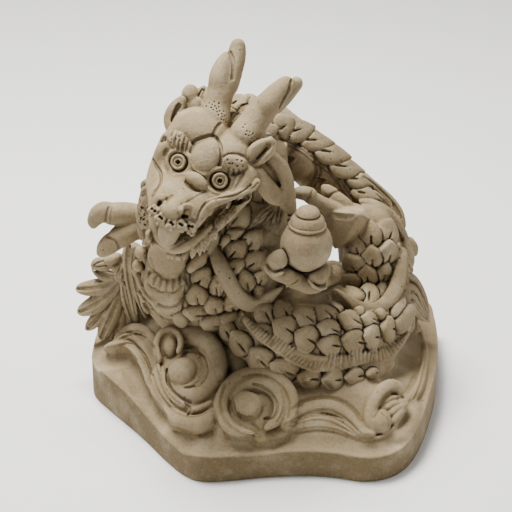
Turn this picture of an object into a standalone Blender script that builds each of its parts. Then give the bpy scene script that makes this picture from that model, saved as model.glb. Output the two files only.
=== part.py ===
"""Dragon corner-cover roof tile: one fired-clay casting.

A hand-moulded clay cover tile.  A low slab with upright walls carries a relief of
rolling waves; a coiled dragon sits on it and holds a wish-granting jewel up in its
forefoot.  Everything was luted together while the clay was wet, so it is one piece.

Frame: +Z up, -Y is the side that faces out from the roof, +X to the right of
somebody looking at the dragon.  The origin lies on the underside of the slab.
Lengths below are millimetres; MM turns them into metres when meshes are made.
"""

import math

import bmesh
import bpy
from mathutils import Matrix, Vector

MM = 0.001

# ---------------------------------------------------------------- driving sizes
SLAB_FRONT_WALL = 27.0      # height of the upright wall at the front
SLAB_REAR_WALL = 36.0       # height of the same wall at the two wings and the rear
SLAB_BAND = 15.0            # width of the smooth hollow band inside the wall
DECK_RISE = 22.0            # how far the deck climbs from the band to the dragon
BACK_Y = 108.0              # flat rear face, where the next ridge tile butts on
VOXEL = 2.3                 # grain at which the modelled clay runs together
CLAY_TRIANGLES = 7600       # facets kept on the modelled clay

# plan of the slab, walked anticlockwise from the left wing round the front
PLAN = [(-151, 22), (-150, 8), (-146, -4), (-130, -27), (-103, -64), (-81, -98),
        (-65, -119), (-50, -128), (-26, -127), (5, -122), (38, -120), (62, -123),
        (82, -128), (103, -124), (120, -109), (134, -80), (145, -43), (153, -9),
        (159, 40), (160, 84), (156, 112), (130, 132), (60, 138), (-50, 138),
        (-112, 128), (-138, 96), (-149, 58)]
PLAN_HUB = (6.0, 14.0)      # the deck's rings close in on this point

# the dragon's trunk: (x, y, z, girth radius) at each station, neck to tail
TRUNK = [(-39, -5, 234, 26), (-59, 0, 191, 28), (-71, -2, 149, 31), (-69, 2, 106, 33),
         (-43, 4, 94, 36), (-20, 8, 120, 37), (-10, 14, 160, 36), (-10, 28, 191, 33),
         (-8, 46, 214, 29), (-2, 62, 234, 25), (22, 68, 218, 22), (45, 72, 198, 23),
         (66, 74, 174, 24), (84, 71, 153, 26), (94, 62, 132, 28), (100, 50, 104, 30),
         (103, 32, 84, 32), (96, 6, 75, 33), (71, -20, 75, 34), (37, -37, 79, 34),
         (7, -32, 82, 31), (-12, -18, 80, 27), (-30, 6, 74, 24), (-59, 30, 72, 20),
         (-95, 42, 77, 16), (-121, 45, 94, 12)]
ARCH = slice(9, 15)         # the stations of the trunk that arch up behind the head

# the head has its own axes: r to its right as seen from in front, u up, f forward
HEAD_AT = (-51.0, -38.0, 239.0)
HEAD_YAW, HEAD_PITCH, HEAD_ROLL = 25.7, 15.6, 15.7


# ---------------------------------------------------------------- small helpers
def head_axes():
    yaw, pitch, roll = (math.radians(a) for a in (HEAD_YAW, HEAD_PITCH, HEAD_ROLL))
    fwd = Vector((-math.sin(yaw) * math.cos(pitch), -math.cos(yaw) * math.cos(pitch),
                  -math.sin(pitch)))
    right = Vector((-fwd.y, fwd.x, 0)).normalized()
    up = fwd.cross(right)
    return (right * math.cos(roll) - up * math.sin(roll),
            right * math.sin(roll) + up * math.cos(roll), fwd)


HR, HU, HF = head_axes()


def on_head(r, u, f):
    p = Vector(HEAD_AT) + HR * r + HU * u + HF * f
    return (p.x, p.y, p.z)


def spline(stations, per=4, closed=False):
    """Catmull-Rom through stations of any width."""
    n = len(stations)
    out = []
    last = n if closed else n - 1
    for i in range(last):
        def at(k):
            return stations[k % n] if closed else stations[min(max(k, 0), n - 1)]
        p0, p1, p2, p3 = at(i - 1), at(i), at(i + 1), at(i + 2)
        for s in range(per):
            t = s / per
            out.append(tuple(
                0.5 * (2 * b + (c - a) * t + (2 * a - 5 * b + 4 * c - d) * t * t
                       + (3 * b - a - 3 * c + d) * t * t * t)
                for a, b, c, d in zip(p0, p1, p2, p3)))
    if not closed:
        out.append(tuple(stations[-1]))
    return out


def mesh_object(name, bm):
    me = bpy.data.meshes.new(name)
    bmesh.ops.recalc_face_normals(bm, faces=bm.faces)
    bm.to_mesh(me)
    bm.free()
    ob = bpy.data.objects.new(name, me)
    bpy.context.scene.collection.objects.link(ob)
    return ob


def limb(stations, sides=14, flat=1.0, across=(0, 0, 1), per=4):
    """A rounded limb: girth rings lofted along a smooth path, domed at both ends.

    flat < 1 squeezes the section along the direction `across`."""
    pts = spline(stations, per) if len(stations) > 2 else [
        tuple(a + (b - a) * k / 6 for a, b in zip(*stations)) for k in range(7)]
    centre = [Vector(p[:3]) for p in pts]
    rad = [max(p[3], 0.4) for p in pts]
    tang = [(centre[min(i + 1, len(pts) - 1)] - centre[max(i - 1, 0)]).normalized()
            for i in range(len(pts))]
    rings = []                                  # (centre, radius, tangent)
    for k in (3, 2, 1):
        a = math.radians(90 * k / 4)
        rings.append((centre[0] - tang[0] * rad[0] * math.sin(a),
                      rad[0] * math.cos(a), tang[0]))
    rings += list(zip(centre, rad, tang))
    for k in (1, 2, 3):
        a = math.radians(90 * k / 4)
        rings.append((centre[-1] + tang[-1] * rad[-1] * math.sin(a),
                      rad[-1] * math.cos(a), tang[-1]))
    bm = bmesh.new()
    loops = []
    for c, r, t in rings:
        v = Vector(across)
        v = (v - t * v.dot(t))
        v = v.normalized() if v.length > 1e-4 else t.orthogonal().normalized()
        w = t.cross(v)
        loops.append([bm.verts.new((c + w * r * math.cos(a) + v * r * flat * math.sin(a)) * MM)
                      for a in (2 * math.pi * k / sides for k in range(sides))])
    for lo, hi in zip(loops, loops[1:]):
        for k in range(sides):
            bm.faces.new((lo[k], lo[(k + 1) % sides], hi[(k + 1) % sides], hi[k]))
    bm.faces.new(loops[0][::-1])
    bm.faces.new(loops[-1])
    return mesh_object("limb", bm)


def blob(at, radii, axes=None):
    """An egg of clay with semi-axes `radii`, along world or given axes."""
    bm = bmesh.new()
    bmesh.ops.create_uvsphere(bm, u_segments=18, v_segments=10, radius=1.0)
    axes = axes or (Vector((1, 0, 0)), Vector((0, 1, 0)), Vector((0, 0, 1)))
    turn = Matrix((axes[0], axes[1], axes[2])).transposed()
    for v in bm.verts:
        v.co = (Vector(at) + turn @ Vector((v.co.x * radii[0], v.co.y * radii[1],
                                            v.co.z * radii[2]))) * MM
    return mesh_object("blob", bm)


def head_blob(r, u, f, radii):
    return blob(on_head(r, u, f), radii, (HR, HU, HF))


def head_limb(stations, **kw):
    return limb([on_head(*s[:3]) + (s[3],) for s in stations], **kw)


def between(a, b, t):
    return tuple(x + (y - x) * t for x, y in zip(a, b))


# ---------------------------------------------------------------- the slab
def wall_height(y):
    t = min(max((y + 125.0) / 110.0, 0.0), 1.0)
    return SLAB_FRONT_WALL + (SLAB_REAR_WALL - SLAB_FRONT_WALL) * t * t * (3 - 2 * t)


def plan_loop(inset):
    """The plan outline drawn in towards the hub by `inset`."""
    out = []
    for p in spline(PLAN, 3, closed=True):
        way = Vector(PLAN_HUB) - Vector(p)
        out.append(Vector(p) + way.normalized() * inset * 1.08)
    return out


def slab():
    bm = bmesh.new()
    steps = [(0.0, None), (0.0, 0.0), (SLAB_BAND * 0.45, 1.5), (SLAB_BAND, 5.0),
             (SLAB_BAND + 14, 12.0), (SLAB_BAND + 34, DECK_RISE)]
    outline = plan_loop(0.0)
    loops = []
    for inset, rise in steps:
        loops.append([bm.verts.new((
            q.x * MM, q.y * MM,
            0.0 if rise is None else (wall_height(edge.y) + rise) * MM))
            for edge, q in zip(outline, plan_loop(inset))])
    n = len(outline)
    for lo, hi in zip(loops, loops[1:]):
        for k in range(n):
            bm.faces.new((lo[k], lo[(k + 1) % n], hi[(k + 1) % n], hi[k]))
    bm.faces.new(loops[0][::-1])
    top = loops[-1]
    hub = bm.verts.new((PLAN_HUB[0] * MM, PLAN_HUB[1] * MM,
                        (SLAB_REAR_WALL + DECK_RISE) * MM))
    for k in range(n):
        bm.faces.new((top[k], top[(k + 1) % n], hub))
    return mesh_object("dragon_roof_tile", bm)


# ---------------------------------------------------------------- waves on the slab
def swirl(centre, start, end, r0, r1, girth, tilt, squash=1.0, ball=0.0, lift=0.0):
    """A rolled wave: a limb wound from angle start to end (degrees) about centre,
    lying on a plane that leans back by `tilt` degrees."""
    out = []
    c, s = math.cos(math.radians(tilt)), math.sin(math.radians(tilt))

    def place(radius, angle, up=0.0):
        a = math.radians(angle)
        x, v = radius * math.cos(a), radius * squash * math.sin(a)
        return (centre[0] + x, centre[1] + v * c - up * s, centre[2] + v * s + up * c)

    steps = max(6, int(abs(end - start) / 30))
    path = []
    for k in range(steps + 1):
        t = k / steps
        path.append(place(r0 + (r1 - r0) * t, start + (end - start) * t, lift)
                    + (girth[0] + (girth[1] - girth[0]) * t,))
    out.append(limb(path, sides=12, per=2))
    if ball:
        out.append(blob(place(0, 0, 3), (ball, ball, ball)))
    return out


def waves():
    out = []
    # rolled wave at the left, middle and right of the front
    out += swirl((-64, -62, 62), 250, -60, 30, 20, (7, 9), 40, 0.95, 13)
    out += swirl((-10, -92, 54), 100, 440, 31, 21, (5, 10), 42, 0.95, 13)
    out += swirl((104, -86, 44), 215, -70, 25, 14, (6, 8), 38, 1.0, 9)
    # long crests that join them
    out.append(limb([(-148, 4, 38, 5), (-131, -2, 48, 8), (-116, -14, 56, 9),
                     (-100, -48, 54, 9), (-80, -84, 46, 8), (-56, -104, 38, 6)]))
    out.append(limb([(-138, 30, 44, 7), (-116, 14, 60, 9), (-100, -10, 64, 8),
                     (-92, -40, 60, 7), (-78, -70, 52, 7), (-58, -92, 44, 7)]))
    out.append(limb([(-4, -106, 42, 7), (22, -96, 50, 9), (48, -92, 54, 10),
                     (68, -100, 46, 8), (88, -110, 38, 6)]))
    out.append(limb([(120, -84, 48, 5), (134, -52, 50, 5), (144, -18, 50, 5),
                     (148, 20, 48, 4), (148, 60, 46, 4)]))
    out.append(blob((-52, -84, 46), (26, 16, 14)))
    out.append(blob((-112, 26, 50), (30, 26, 16)))
    return out


# ---------------------------------------------------------------- the trunk
def trunk():
    out = [limb(TRUNK, sides=20, per=4)]
    # belly plates that bulge from the inside of the arch
    for at, size in (((13, 44, 220), 11), ((32, 46, 208), 17), ((49, 50, 189), 14),
                     ((65, 54, 170), 12)):
        out.append(blob(at, (size, size, size * 0.85)))
    # belly plates down the front of the throat
    for at, size in (((-79, -20, 150), 21), ((-80, -22, 130), 23), ((-74, -20, 110), 24)):
        out.append(blob(at, (size, 15, 13)))
    # the breast, where throat and shoulder run together
    out.append(blob((-42, -6, 118), (42, 32, 44)))
    # comb along the back of the coil
    out.append(limb([(-9, -60, 112, 4), (7, -66, 104, 6), (25, -71, 95, 7),
                     (53, -70, 79, 7), (82, -55, 73, 7), (101, -42, 69, 7),
                     (114, -25, 74, 6), (128, 0, 76, 4)], flat=0.6))
    # overlapping leaf scales stand up along the outer edge of the arch
    spine = spline(TRUNK[ARCH], 3)
    for a, b in zip(spine, spine[1:]):
        along = (Vector(b[:3]) - Vector(a[:3])).normalized()
        outward = Vector((0.55, -0.3, 0.8))
        outward = (outward - along * outward.dot(along)).normalized()
        at = Vector(a[:3]) + outward * (a[3] - 1.5)
        out.append(blob(at, (9, 5, 6), (along, along.cross(outward), outward)))
    return out


# ---------------------------------------------------------------- head
def head():
    out = []
    # skull, brain case, muzzle and cheeks
    out.append(head_blob(0, -4, -30, (31, 30, 34)))
    out.append(head_blob(0, 12, -8, (24, 18, 18)))
    out.append(head_limb([(0, -2, -6, 22), (0, -6, 14, 19), (0, -8, 34, 17), (0, -9, 44, 15)],
                         flat=0.72, across=HU))
    out.append(head_blob(2, 0, 49, (9, 8, 8)))
    for side in (-1, 1):
        out.append(head_blob(side * 10, 0, 46, (7.5, 6, 7.5)))           # nostril
        out.append(head_blob(side * 19, 2, -1, (11, 10.5, 8)))           # eye
        out.append(head_blob(side * 25, 19, -6, (12, 8, 8)))             # brow tuft
        out.append(head_blob(side * 16, 26, -24, (14, 11, 16)))          # crown lobe
        out.append(head_limb([(side * 18, -8, 42, 6), (side * 23, -4, 24, 8),
                              (side * 31, -2, 6, 9), (side * 36, -3, -12, 9)]))  # cheek
        # ear
        out.append(head_limb([(side * 26, 12, -32, 7), (side * 38, 15, -38, 8),
                              (side * 45, 13, -42, 4)], flat=0.6, across=HF))
        # horn with two prongs, pressed flat from front to back
        root = (side * 15 + 6, 18, -40)
        fork = (side * 19 + 7, 36, -64)
        out.append(head_limb([root + (9,), fork + (9,),
                              (side * 24 + 8, 47 - side * 4, -84, 6.5),
                              (side * 28 + 10, 53 - side * 6, -95, 4.5)]))
        out.append(head_limb([fork + (8,), (side * 25 + 6, 44 - side * 2, -80, 5.5),
                              (side * 27 + 5, 47 - side * 2, -88, 4)]))
        # lower jaw
        out.append(head_limb([(side * 25, -30, -4, 10), (side * 22, -40, 18, 8),
                              (side * 12, -49, 34, 7), (0, -52, 41, 7)]))
    out.append(head_blob(4, 18, -2, (14, 14, 9)))                        # forehead
    out.append(head_blob(1, -34, 4, (20, 12, 26)))                       # mouth floor
    out.append(head_limb([(0, -32, 8, 9), (-1, -32, 26, 10), (-2, -37, 40, 8)],
                         flat=0.55, across=HU))                          # tongue
    out.append(head_blob(0, -22, 34, (17, 5, 13)))                       # palate and teeth
    for r, u, f in ((-14, -8, 48), (-7, -14, 48), (6, -14, 48), (16, -17, 42)):
        out.append(head_blob(r, u, f, (6, 5, 5)))                        # whisker curls
    # mane roll behind the cheek and the hair behind the crown
    out.append(head_limb([(41, 8, -18, 6), (47, -8, -20, 7), (60, -14, -24, 8),
                          (60, 0, -30, 7), (52, 14, -36, 6)]))
    for r, u, f, size in ((-29, 31, -48, 11), (-20, 34, -54, 12), (2, 20, -56, 18)):
        out.append(head_blob(r, u, f, (size, size, size)))
    out.append(head_blob(-30, -4, -46, (20, 26, 18)))
    return out


# ---------------------------------------------------------------- limbs and jewel
def forefeet():
    out = []
    # arm that holds the jewel, and the clay stem under its palm
    out.append(limb([(-18, -24, 118, 20), (2, -34, 120, 19), (24, -38, 128, 17),
                     (36, -42, 136, 14)]))
    out.append(limb([(34, -40, 132, 16), (35, -44, 146, 17)]))
    for path in ([(14, -44, 134, 8), (10, -56, 148, 9), (18, -64, 164, 6)],
                 [(50, -44, 134, 8), (52, -56, 146, 9), (44, -62, 158, 6)],
                 [(34, -36, 140, 9), (40, -22, 156, 9), (42, -16, 168, 6)]):
        out.append(limb(path))
    out.append(limb([(44, -34, 132, 9), (60, -28, 142, 8), (66, -26, 158, 8)]))
    # elbow flame
    out.append(limb([(-40, -38, 170, 5), (-33, -42, 157, 6.5), (-25, -46, 139, 7),
                     (-14, -50, 126, 7), (0, -50, 128, 6.5), (14, -50, 141, 3)]))
    # the other forefoot, reaching out to the left
    out.append(limb([(-70, 8, 158, 15), (-96, 14, 160, 13), (-112, 14, 162, 11)]))
    out.append(limb([(-108, 14, 170, 8), (-128, 10, 178, 8.5), (-138, 6, 174, 7),
                     (-145, 4, 163, 3.5)]))
    out.append(limb([(-106, 8, 156, 8), (-120, 4, 154, 8.5), (-130, 0, 148, 7),
                     (-135, -2, 141, 4)]))
    return out


def jewel():
    out = [blob((36, -44, 170), (21, 21, 21)),
           limb([(36, -44, 184, 15), (36, -44, 190, 14.5)], sides=20),
           limb([(36, -44, 188, 10), (36, -44, 195, 9)], sides=20)]
    return out


def hind_leg():
    out = [blob((95, 32, 126), (25, 24, 36)),
           limb([(95, 42, 160, 13), (77, 34, 173, 11), (58, 30, 173, 10), (43, 32, 177, 9)])]
    for x0, x1 in ((38, 28), (50, 41), (64, 60)):
        out.append(limb([(x0 + 4, 32, 176, 7), (x0 - 2, 32, 187, 7), (x1, 34, 191, 4)]))
    return out


def flames():
    """Hair and flame locks: each is a limb that thins to a point."""
    out = []
    for path in (
            # long strands that fall behind the thigh
            [(84, 60, 188, 6), (103, 55, 179, 7), (117, 52, 160, 7), (124, 45, 134, 8),
             (128, 42, 112, 8)],
            [(84, 44, 172, 5), (97, 42, 171, 6), (110, 42, 158, 6), (119, 40, 142, 4)],
            [(120, 48, 150, 5), (131, 44, 130, 7), (132, 42, 119, 5)],
            # knee flame laid over the thigh
            [(122, 24, 131, 6), (114, 6, 114, 7), (99, -16, 104, 7.5), (78, -26, 112, 7),
             (58, -28, 123, 5)]):
        out.append(limb(path))
    # grooved fan on the right wing
    for k in range(4):
        t = k / 3
        out.append(limb([(121, 34, 98 - 12 * t, 6), (136 - 4 * t, 36, 86 - 14 * t, 7),
                         (150 - 2 * t, 38, 60 - 2 * t, 4)]))
    out.append(limb([(122, 28, 62, 6), (134, 24, 54, 6)]))
    # tail flame at the left, a sheaf of locks from one knot
    knot = (-118, 44, 98)
    for tip, girth in (((-161, 42, 86), 10), ((-160, 38, 68), 11), ((-153, 38, 49), 10),
                       ((-141, 34, 42), 9), ((-132, 30, 38), 8), ((-114, 36, 56), 8),
                       ((-104, 34, 66), 8)):
        out.append(limb([knot + (9,), between(knot, tip, 0.55) + (girth,), tip + (3.5,)]))
    out.append(blob((-140, 46, 104), (14, 10, 9)))
    out.append(blob((-120, 36, 104), (9, 8, 10)))
    return out


def keep_outer_skin(mesh):
    """Drop the skins of closed pockets left between the lumps."""
    bm = bmesh.new()
    bm.from_mesh(mesh)
    islands, seen = [], set()
    for first in bm.verts:
        if first in seen:
            continue
        seen.add(first)
        island, stack = [], [first]
        while stack:
            v = stack.pop()
            island.append(v)
            for edge in v.link_edges:
                w = edge.other_vert(v)
                if w not in seen:
                    seen.add(w)
                    stack.append(w)
        islands.append(island)
    islands.sort(key=len)
    for island in islands[:-1]:
        bmesh.ops.delete(bm, geom=island, context="VERTS")
    bm.to_mesh(mesh)
    bm.free()


# ---------------------------------------------------------------- put together
def main():
    for ob in list(bpy.data.objects):
        bpy.data.objects.remove(ob, do_unlink=True)

    clay = bpy.data.materials.new("unglazed_clay")
    clay.use_nodes = True
    skin = clay.node_tree.nodes["Principled BSDF"]
    skin.inputs["Base Color"].default_value = (0.28, 0.21, 0.12, 1)
    skin.inputs["Roughness"].default_value = 0.9
    skin.inputs["Metallic"].default_value = 0.0

    lumps = waves() + trunk() + head() + forefeet() + jewel() + hind_leg() + flames()

    # run the lumps together, as wet clay is luted, into one skin
    bm = bmesh.new()
    for ob in lumps:
        bm.from_mesh(ob.data)
        bpy.data.objects.remove(ob, do_unlink=True)
    figure = mesh_object("dragon_clay", bm)
    melt = figure.modifiers.new("melt", "REMESH")
    melt.mode = "VOXEL"
    melt.voxel_size = VOXEL * MM
    melt.adaptivity = 0.0
    soft = figure.modifiers.new("soften", "SMOOTH")
    soft.factor = 0.5
    soft.iterations = 1

    graph = bpy.context.evaluated_depsgraph_get()
    skin_mesh = bpy.data.meshes.new_from_object(figure.evaluated_get(graph))
    keep_outer_skin(skin_mesh)
    figure.modifiers.clear()
    figure.data = skin_mesh
    thin = figure.modifiers.new("thin", "DECIMATE")
    thin.ratio = CLAY_TRIANGLES / (2.0 * len(skin_mesh.polygons))
    thin.use_collapse_triangulate = True
    figure.hide_render = True
    figure.display_type = "WIRE"

    tile = slab()
    tile.data.materials.append(clay)
    join = tile.modifiers.new("lute", "BOOLEAN")
    join.operation = "UNION"
    join.object = figure

    # trim everything to the flat underside and the flat rear face
    for name, low, high in (("trim_under", (-400, -400, -200), (400, 400, 0)),
                            ("trim_back", (-400, BACK_Y, -200), (400, 400, 600))):
        bm = bmesh.new()
        bmesh.ops.create_cube(bm, size=1.0)
        for v in bm.verts:
            v.co = Vector([(h if c > 0 else l) * MM for c, l, h in zip(v.co, low, high)])
        cutter = mesh_object(name, bm)
        cutter.hide_render = True
        cutter.display_type = "WIRE"
        cut = tile.modifiers.new(name, "BOOLEAN")
        cut.operation = "DIFFERENCE"
        cut.object = cutter


main()
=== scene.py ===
"""Looks of the dragon corner-cover roof tile: hand-modelled, unglazed grey-beige clay.

Every lump of clay is modelled as a distance field on a fine grid (millimetres,
negative inside the clay), because that is how wet clay behaves: lumps run together
with soft fillets, tools press grooves into them, and the skin stays closed.  The
fields are then skinned as meshes.  Detail is laid out on an elevation drawing of the
tile, seen from EYE_RISE degrees above its front, in millimetres: u to the right and
v up from the aiming point.
"""
import math

import bmesh
import bpy
import numpy as np
from concurrent.futures import ThreadPoolExecutor
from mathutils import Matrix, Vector


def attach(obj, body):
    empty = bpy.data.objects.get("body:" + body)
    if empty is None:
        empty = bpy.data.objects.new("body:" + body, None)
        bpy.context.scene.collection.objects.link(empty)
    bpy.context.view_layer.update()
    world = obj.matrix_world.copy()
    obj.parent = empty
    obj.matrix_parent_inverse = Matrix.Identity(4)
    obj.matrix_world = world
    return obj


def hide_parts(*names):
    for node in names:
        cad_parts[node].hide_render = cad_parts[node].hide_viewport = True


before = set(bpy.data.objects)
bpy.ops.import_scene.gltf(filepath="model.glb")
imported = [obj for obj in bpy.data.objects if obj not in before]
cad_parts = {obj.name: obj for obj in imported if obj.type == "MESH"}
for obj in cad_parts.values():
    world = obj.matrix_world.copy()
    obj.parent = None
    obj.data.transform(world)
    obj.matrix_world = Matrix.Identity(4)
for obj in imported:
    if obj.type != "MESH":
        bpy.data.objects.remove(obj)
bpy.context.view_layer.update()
NODE = "dragon_roof_tile"

# ------------------------------------------------------------------ the elevation drawing
EYE_RISE = 28.0                                  # degrees above the front
EYE_AWAY = 1400.0                                # mm from the aiming point
AIM = np.array([-5.0, 0.0, 142.5])
_r = math.radians(EYE_RISE)
ACROSS = np.array([1.0, 0.0, 0.0])
UPWARD = np.array([0.0, math.sin(_r), math.cos(_r)])
TOWARD = np.array([0.0, -math.cos(_r), math.sin(_r)])
EYE = AIM + TOWARD * EYE_AWAY


def sight(uv):
    """Unit directions of the lines of sight through points of the drawing."""
    uv = np.atleast_2d(np.asarray(uv, float))
    p = AIM + uv[:, :1] * ACROSS + uv[:, 1:2] * UPWARD - EYE
    return p / np.linalg.norm(p, axis=1, keepdims=True)


def at(uv, y):
    """The point of the line of sight through uv that lies at depth y."""
    d = sight(uv)[0]
    return EYE + d * (y - EYE[1]) / d[1]


def path(points, per=6):
    """Smooth path through ((u, v), depth, girth, ...) or (x, y, z, girth, ...) stations."""
    rows = []
    for p in points:
        if isinstance(p[0], tuple):
            rows.append(list(at(p[0], p[1])) + list(p[2:]))
        else:
            rows.append(list(p))
    a = np.array(rows, float)
    return curve(a, per)


def curve(a, per=6, closed=False):
    n = len(a)
    if n < 3 and not closed:
        t = np.linspace(0, 1, per + 1)[:, None]
        return a[0] * (1 - t) + a[-1] * t
    out = []
    for i in range(n if closed else n - 1):
        p = [a[(i + k) % n] if closed else a[min(max(i + k, 0), n - 1)] for k in (-1, 0, 1, 2)]
        for s in range(per):
            t = s / per
            out.append(0.5 * (2 * p[1] + (p[2] - p[0]) * t
                              + (2 * p[0] - 5 * p[1] + 4 * p[2] - p[3]) * t * t
                              + (3 * p[1] - p[0] - 3 * p[2] + p[3]) * t ** 3))
    if not closed:
        out.append(a[-1])
    return np.array(out)


def unit(v):
    v = np.asarray(v, float)
    return v / (np.linalg.norm(v, axis=-1, keepdims=True) + 1e-12)


# ------------------------------------------------------------------ clay as a distance field
FAR = 8.0


class Clay:
    def __init__(self, lo, hi, step):
        self.h = float(step)
        self.lo = np.array(lo, np.float32)
        n = np.ceil((np.array(hi, float) - self.lo) / step).astype(int) + 1
        self.n = n
        self.d = np.full(tuple(n), FAR, np.float32)
        self.ax = [self.lo[k] + np.float32(step) * np.arange(n[k], dtype=np.float32)
                   for k in range(3)]

    def window(self, lo, hi):
        a = np.maximum(np.floor((np.asarray(lo) - self.lo) / self.h).astype(int), 0)
        b = np.minimum(np.ceil((np.asarray(hi) - self.lo) / self.h).astype(int) + 1, self.n)
        if np.any(b - a < 2):
            return None
        s = tuple(slice(i, j) for i, j in zip(a, b))
        return (s, self.ax[0][s[0]][:, None, None], self.ax[1][s[1]][None, :, None],
                self.ax[2][s[2]][None, None, :])

    def blend(self, lo, hi, f, k=0.0, cut=False):
        w = self.window(lo, hi)
        if w is None:
            return
        s, X, Y, Z = w
        new = f(X, Y, Z)
        if new.dtype != np.float32:
            new = new.astype(np.float32)
        old = self.d[s]
        if cut:
            new = -new
            if k > 0:
                g = np.maximum(k - np.abs(old - new), 0)
                self.d[s] = np.maximum(old, new) + g * g * (0.25 / k)
            else:
                self.d[s] = np.maximum(old, new)
        else:
            if k > 0:
                g = np.maximum(k - np.abs(old - new), 0)
                self.d[s] = np.minimum(old, new) - g * g * (0.25 / k)
            else:
                self.d[s] = np.minimum(old, new)

    # -- tools -----------------------------------------------------------------
    def rod(self, pts, k=0.0, cut=False, margin=3.5):
        """A round limb along pts, rows of x, y, z, radius."""
        pts = np.asarray(pts, np.float32)
        for a, b in zip(pts[:-1], pts[1:]):
            d = b[:3] - a[:3]
            L2 = float(d @ d)
            if L2 < 1e-8:
                continue
            r = max(a[3], b[3]) + margin + k
            lo, hi = np.minimum(a[:3], b[:3]) - r, np.maximum(a[:3], b[:3]) + r

            def f(X, Y, Z, a=a, b=b, d=d, L2=L2):
                x, y, z = X - a[0], Y - a[1], Z - a[2]
                t = np.clip(((x * d[0] + y * d[1]) + z * d[2]) / np.float32(L2), 0, 1)
                q = (x - t * d[0]) ** 2
                q += (y - t * d[1]) ** 2
                q += (z - t * d[2]) ** 2
                np.sqrt(q, out=q)
                q -= a[3] + t * (b[3] - a[3])
                return q
            self.blend(lo, hi, f, k, cut)

    def strap(self, pts, face, flat, k=0.0, cut=False, margin=3.5, power=2.0):
        """A flattened limb: radius along pts, thickness radius*flat along `face`.

        face is one vector or one per point; flat one number or one per point; a power
        above 2 squares its edges."""
        pts = np.asarray(pts, float)
        face = np.broadcast_to(np.asarray(face, float), (len(pts), 3))
        flat = np.broadcast_to(np.asarray(flat, float), (len(pts),))
        for i in range(len(pts) - 1):
            a, b = pts[i], pts[i + 1]
            d = b[:3] - a[:3]
            L = np.linalg.norm(d)
            if L < 1e-5:
                continue
            e = d / L
            n = unit(face[i] + face[i + 1])
            n = unit(n - e * (n @ e))
            w = np.cross(e, n)
            r = max(a[3], b[3]) + margin + k
            lo, hi = np.minimum(a[:3], b[:3]) - r, np.maximum(a[:3], b[:3]) + r

            def f(X, Y, Z, a=a.astype(np.float32), e=e.astype(np.float32),
                  n=n.astype(np.float32), w=w.astype(np.float32), L=np.float32(L),
                  r0=np.float32(a[3]), r1=np.float32(b[3]),
                  f0=np.float32(flat[i]), f1=np.float32(flat[i + 1])):
                x, y, z = X - a[0], Y - a[1], Z - a[2]
                t = (x * e[0] + y * e[1]) + z * e[2]
                s = np.clip(t, 0, L)
                r = r0 + (r1 - r0) * (s / L)
                fl = f0 + (f1 - f0) * (s / L)
                p = ((x * n[0] + y * n[1]) + z * n[2]) / (r * fl)
                q = ((x * w[0] + y * w[1]) + z * w[2]) / r
                c = (t - s) / r
                if power == 2.0:
                    k0 = np.sqrt(p * p + q * q + c * c) + np.float32(1e-6)
                else:
                    w2 = np.float32(power)
                    k0 = (np.abs(p) ** w2 + (q * q + c * c) ** (w2 / 2)) ** (1 / w2) + np.float32(1e-6)
                k1 = np.sqrt((p / (r * fl)) ** 2 + (q / r) ** 2 + (c / r) ** 2) + np.float32(1e-6)
                return k0 * (k0 - 1) / k1
            self.blend(lo, hi, f, k, cut)

    def facets(self, corners, k=0.0, soft=0.8, cut=False):
        """A block with flat faces, the tightest one round its corners."""
        V = np.asarray(corners, float)
        mid = V.mean(0)
        planes = []
        for i in range(len(V)):
            for j in range(i + 1, len(V)):
                for m in range(j + 1, len(V)):
                    n = np.cross(V[j] - V[i], V[m] - V[i])
                    L = np.linalg.norm(n)
                    if L < 1e-6:
                        continue
                    n = n / L
                    o = n @ V[i]
                    if n @ mid > o:
                        n, o = -n, -o
                    if np.all(V @ n <= o + 1e-6) and not any(abs(o - q) < 0.05 and n @ w > 0.9995 for w, q in planes):
                        planes.append((n, o))

        def f(X, Y, Z):
            d = None
            for n, o in planes:
                n = n.astype(np.float32)
                e = (X * n[0] + Y * n[1]) + Z * n[2] - np.float32(o)
                if d is None:
                    d = e
                else:
                    g = np.maximum(soft - np.abs(d - e), 0)
                    d = np.maximum(d, e) + g * g * np.float32(0.25 / soft)
            return d
        self.blend(V.min(0) - 3 - k, V.max(0) + 3 + k, f, k, cut)

    def egg(self, at_, radii, axes=None, k=0.0, cut=False, power=2.0, margin=3.5):
        """An ellipsoid; axes rows are its own x, y, z directions."""
        c = np.asarray(at_, np.float32)
        A = np.eye(3, dtype=np.float32) if axes is None else np.asarray(axes, np.float32)
        ra = np.asarray(radii, np.float32)
        reach = np.sqrt(((A * ra[:, None]) ** 2).sum(0)) + margin + k

        def f(X, Y, Z):
            x, y, z = X - c[0], Y - c[1], Z - c[2]
            p = [((x * A[i, 0] + y * A[i, 1]) + z * A[i, 2]) / ra[i] for i in range(3)]
            k1 = np.sqrt((p[0] / ra[0]) ** 2 + (p[1] / ra[1]) ** 2 + (p[2] / ra[2]) ** 2) + np.float32(1e-6)
            if power != 2.0:
                k0 = (np.abs(p[0]) ** power + np.abs(p[1]) ** power) ** (2.0 / power) + p[2] ** 2
                k0 = np.sqrt(k0)
            else:
                k0 = np.sqrt(p[0] ** 2 + p[1] ** 2 + p[2] ** 2)
            k0 = k0 + np.float32(1e-6)
            return k0 * (k0 - 1) / k1
        self.blend(c - reach, c + reach, f, k, cut)

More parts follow.
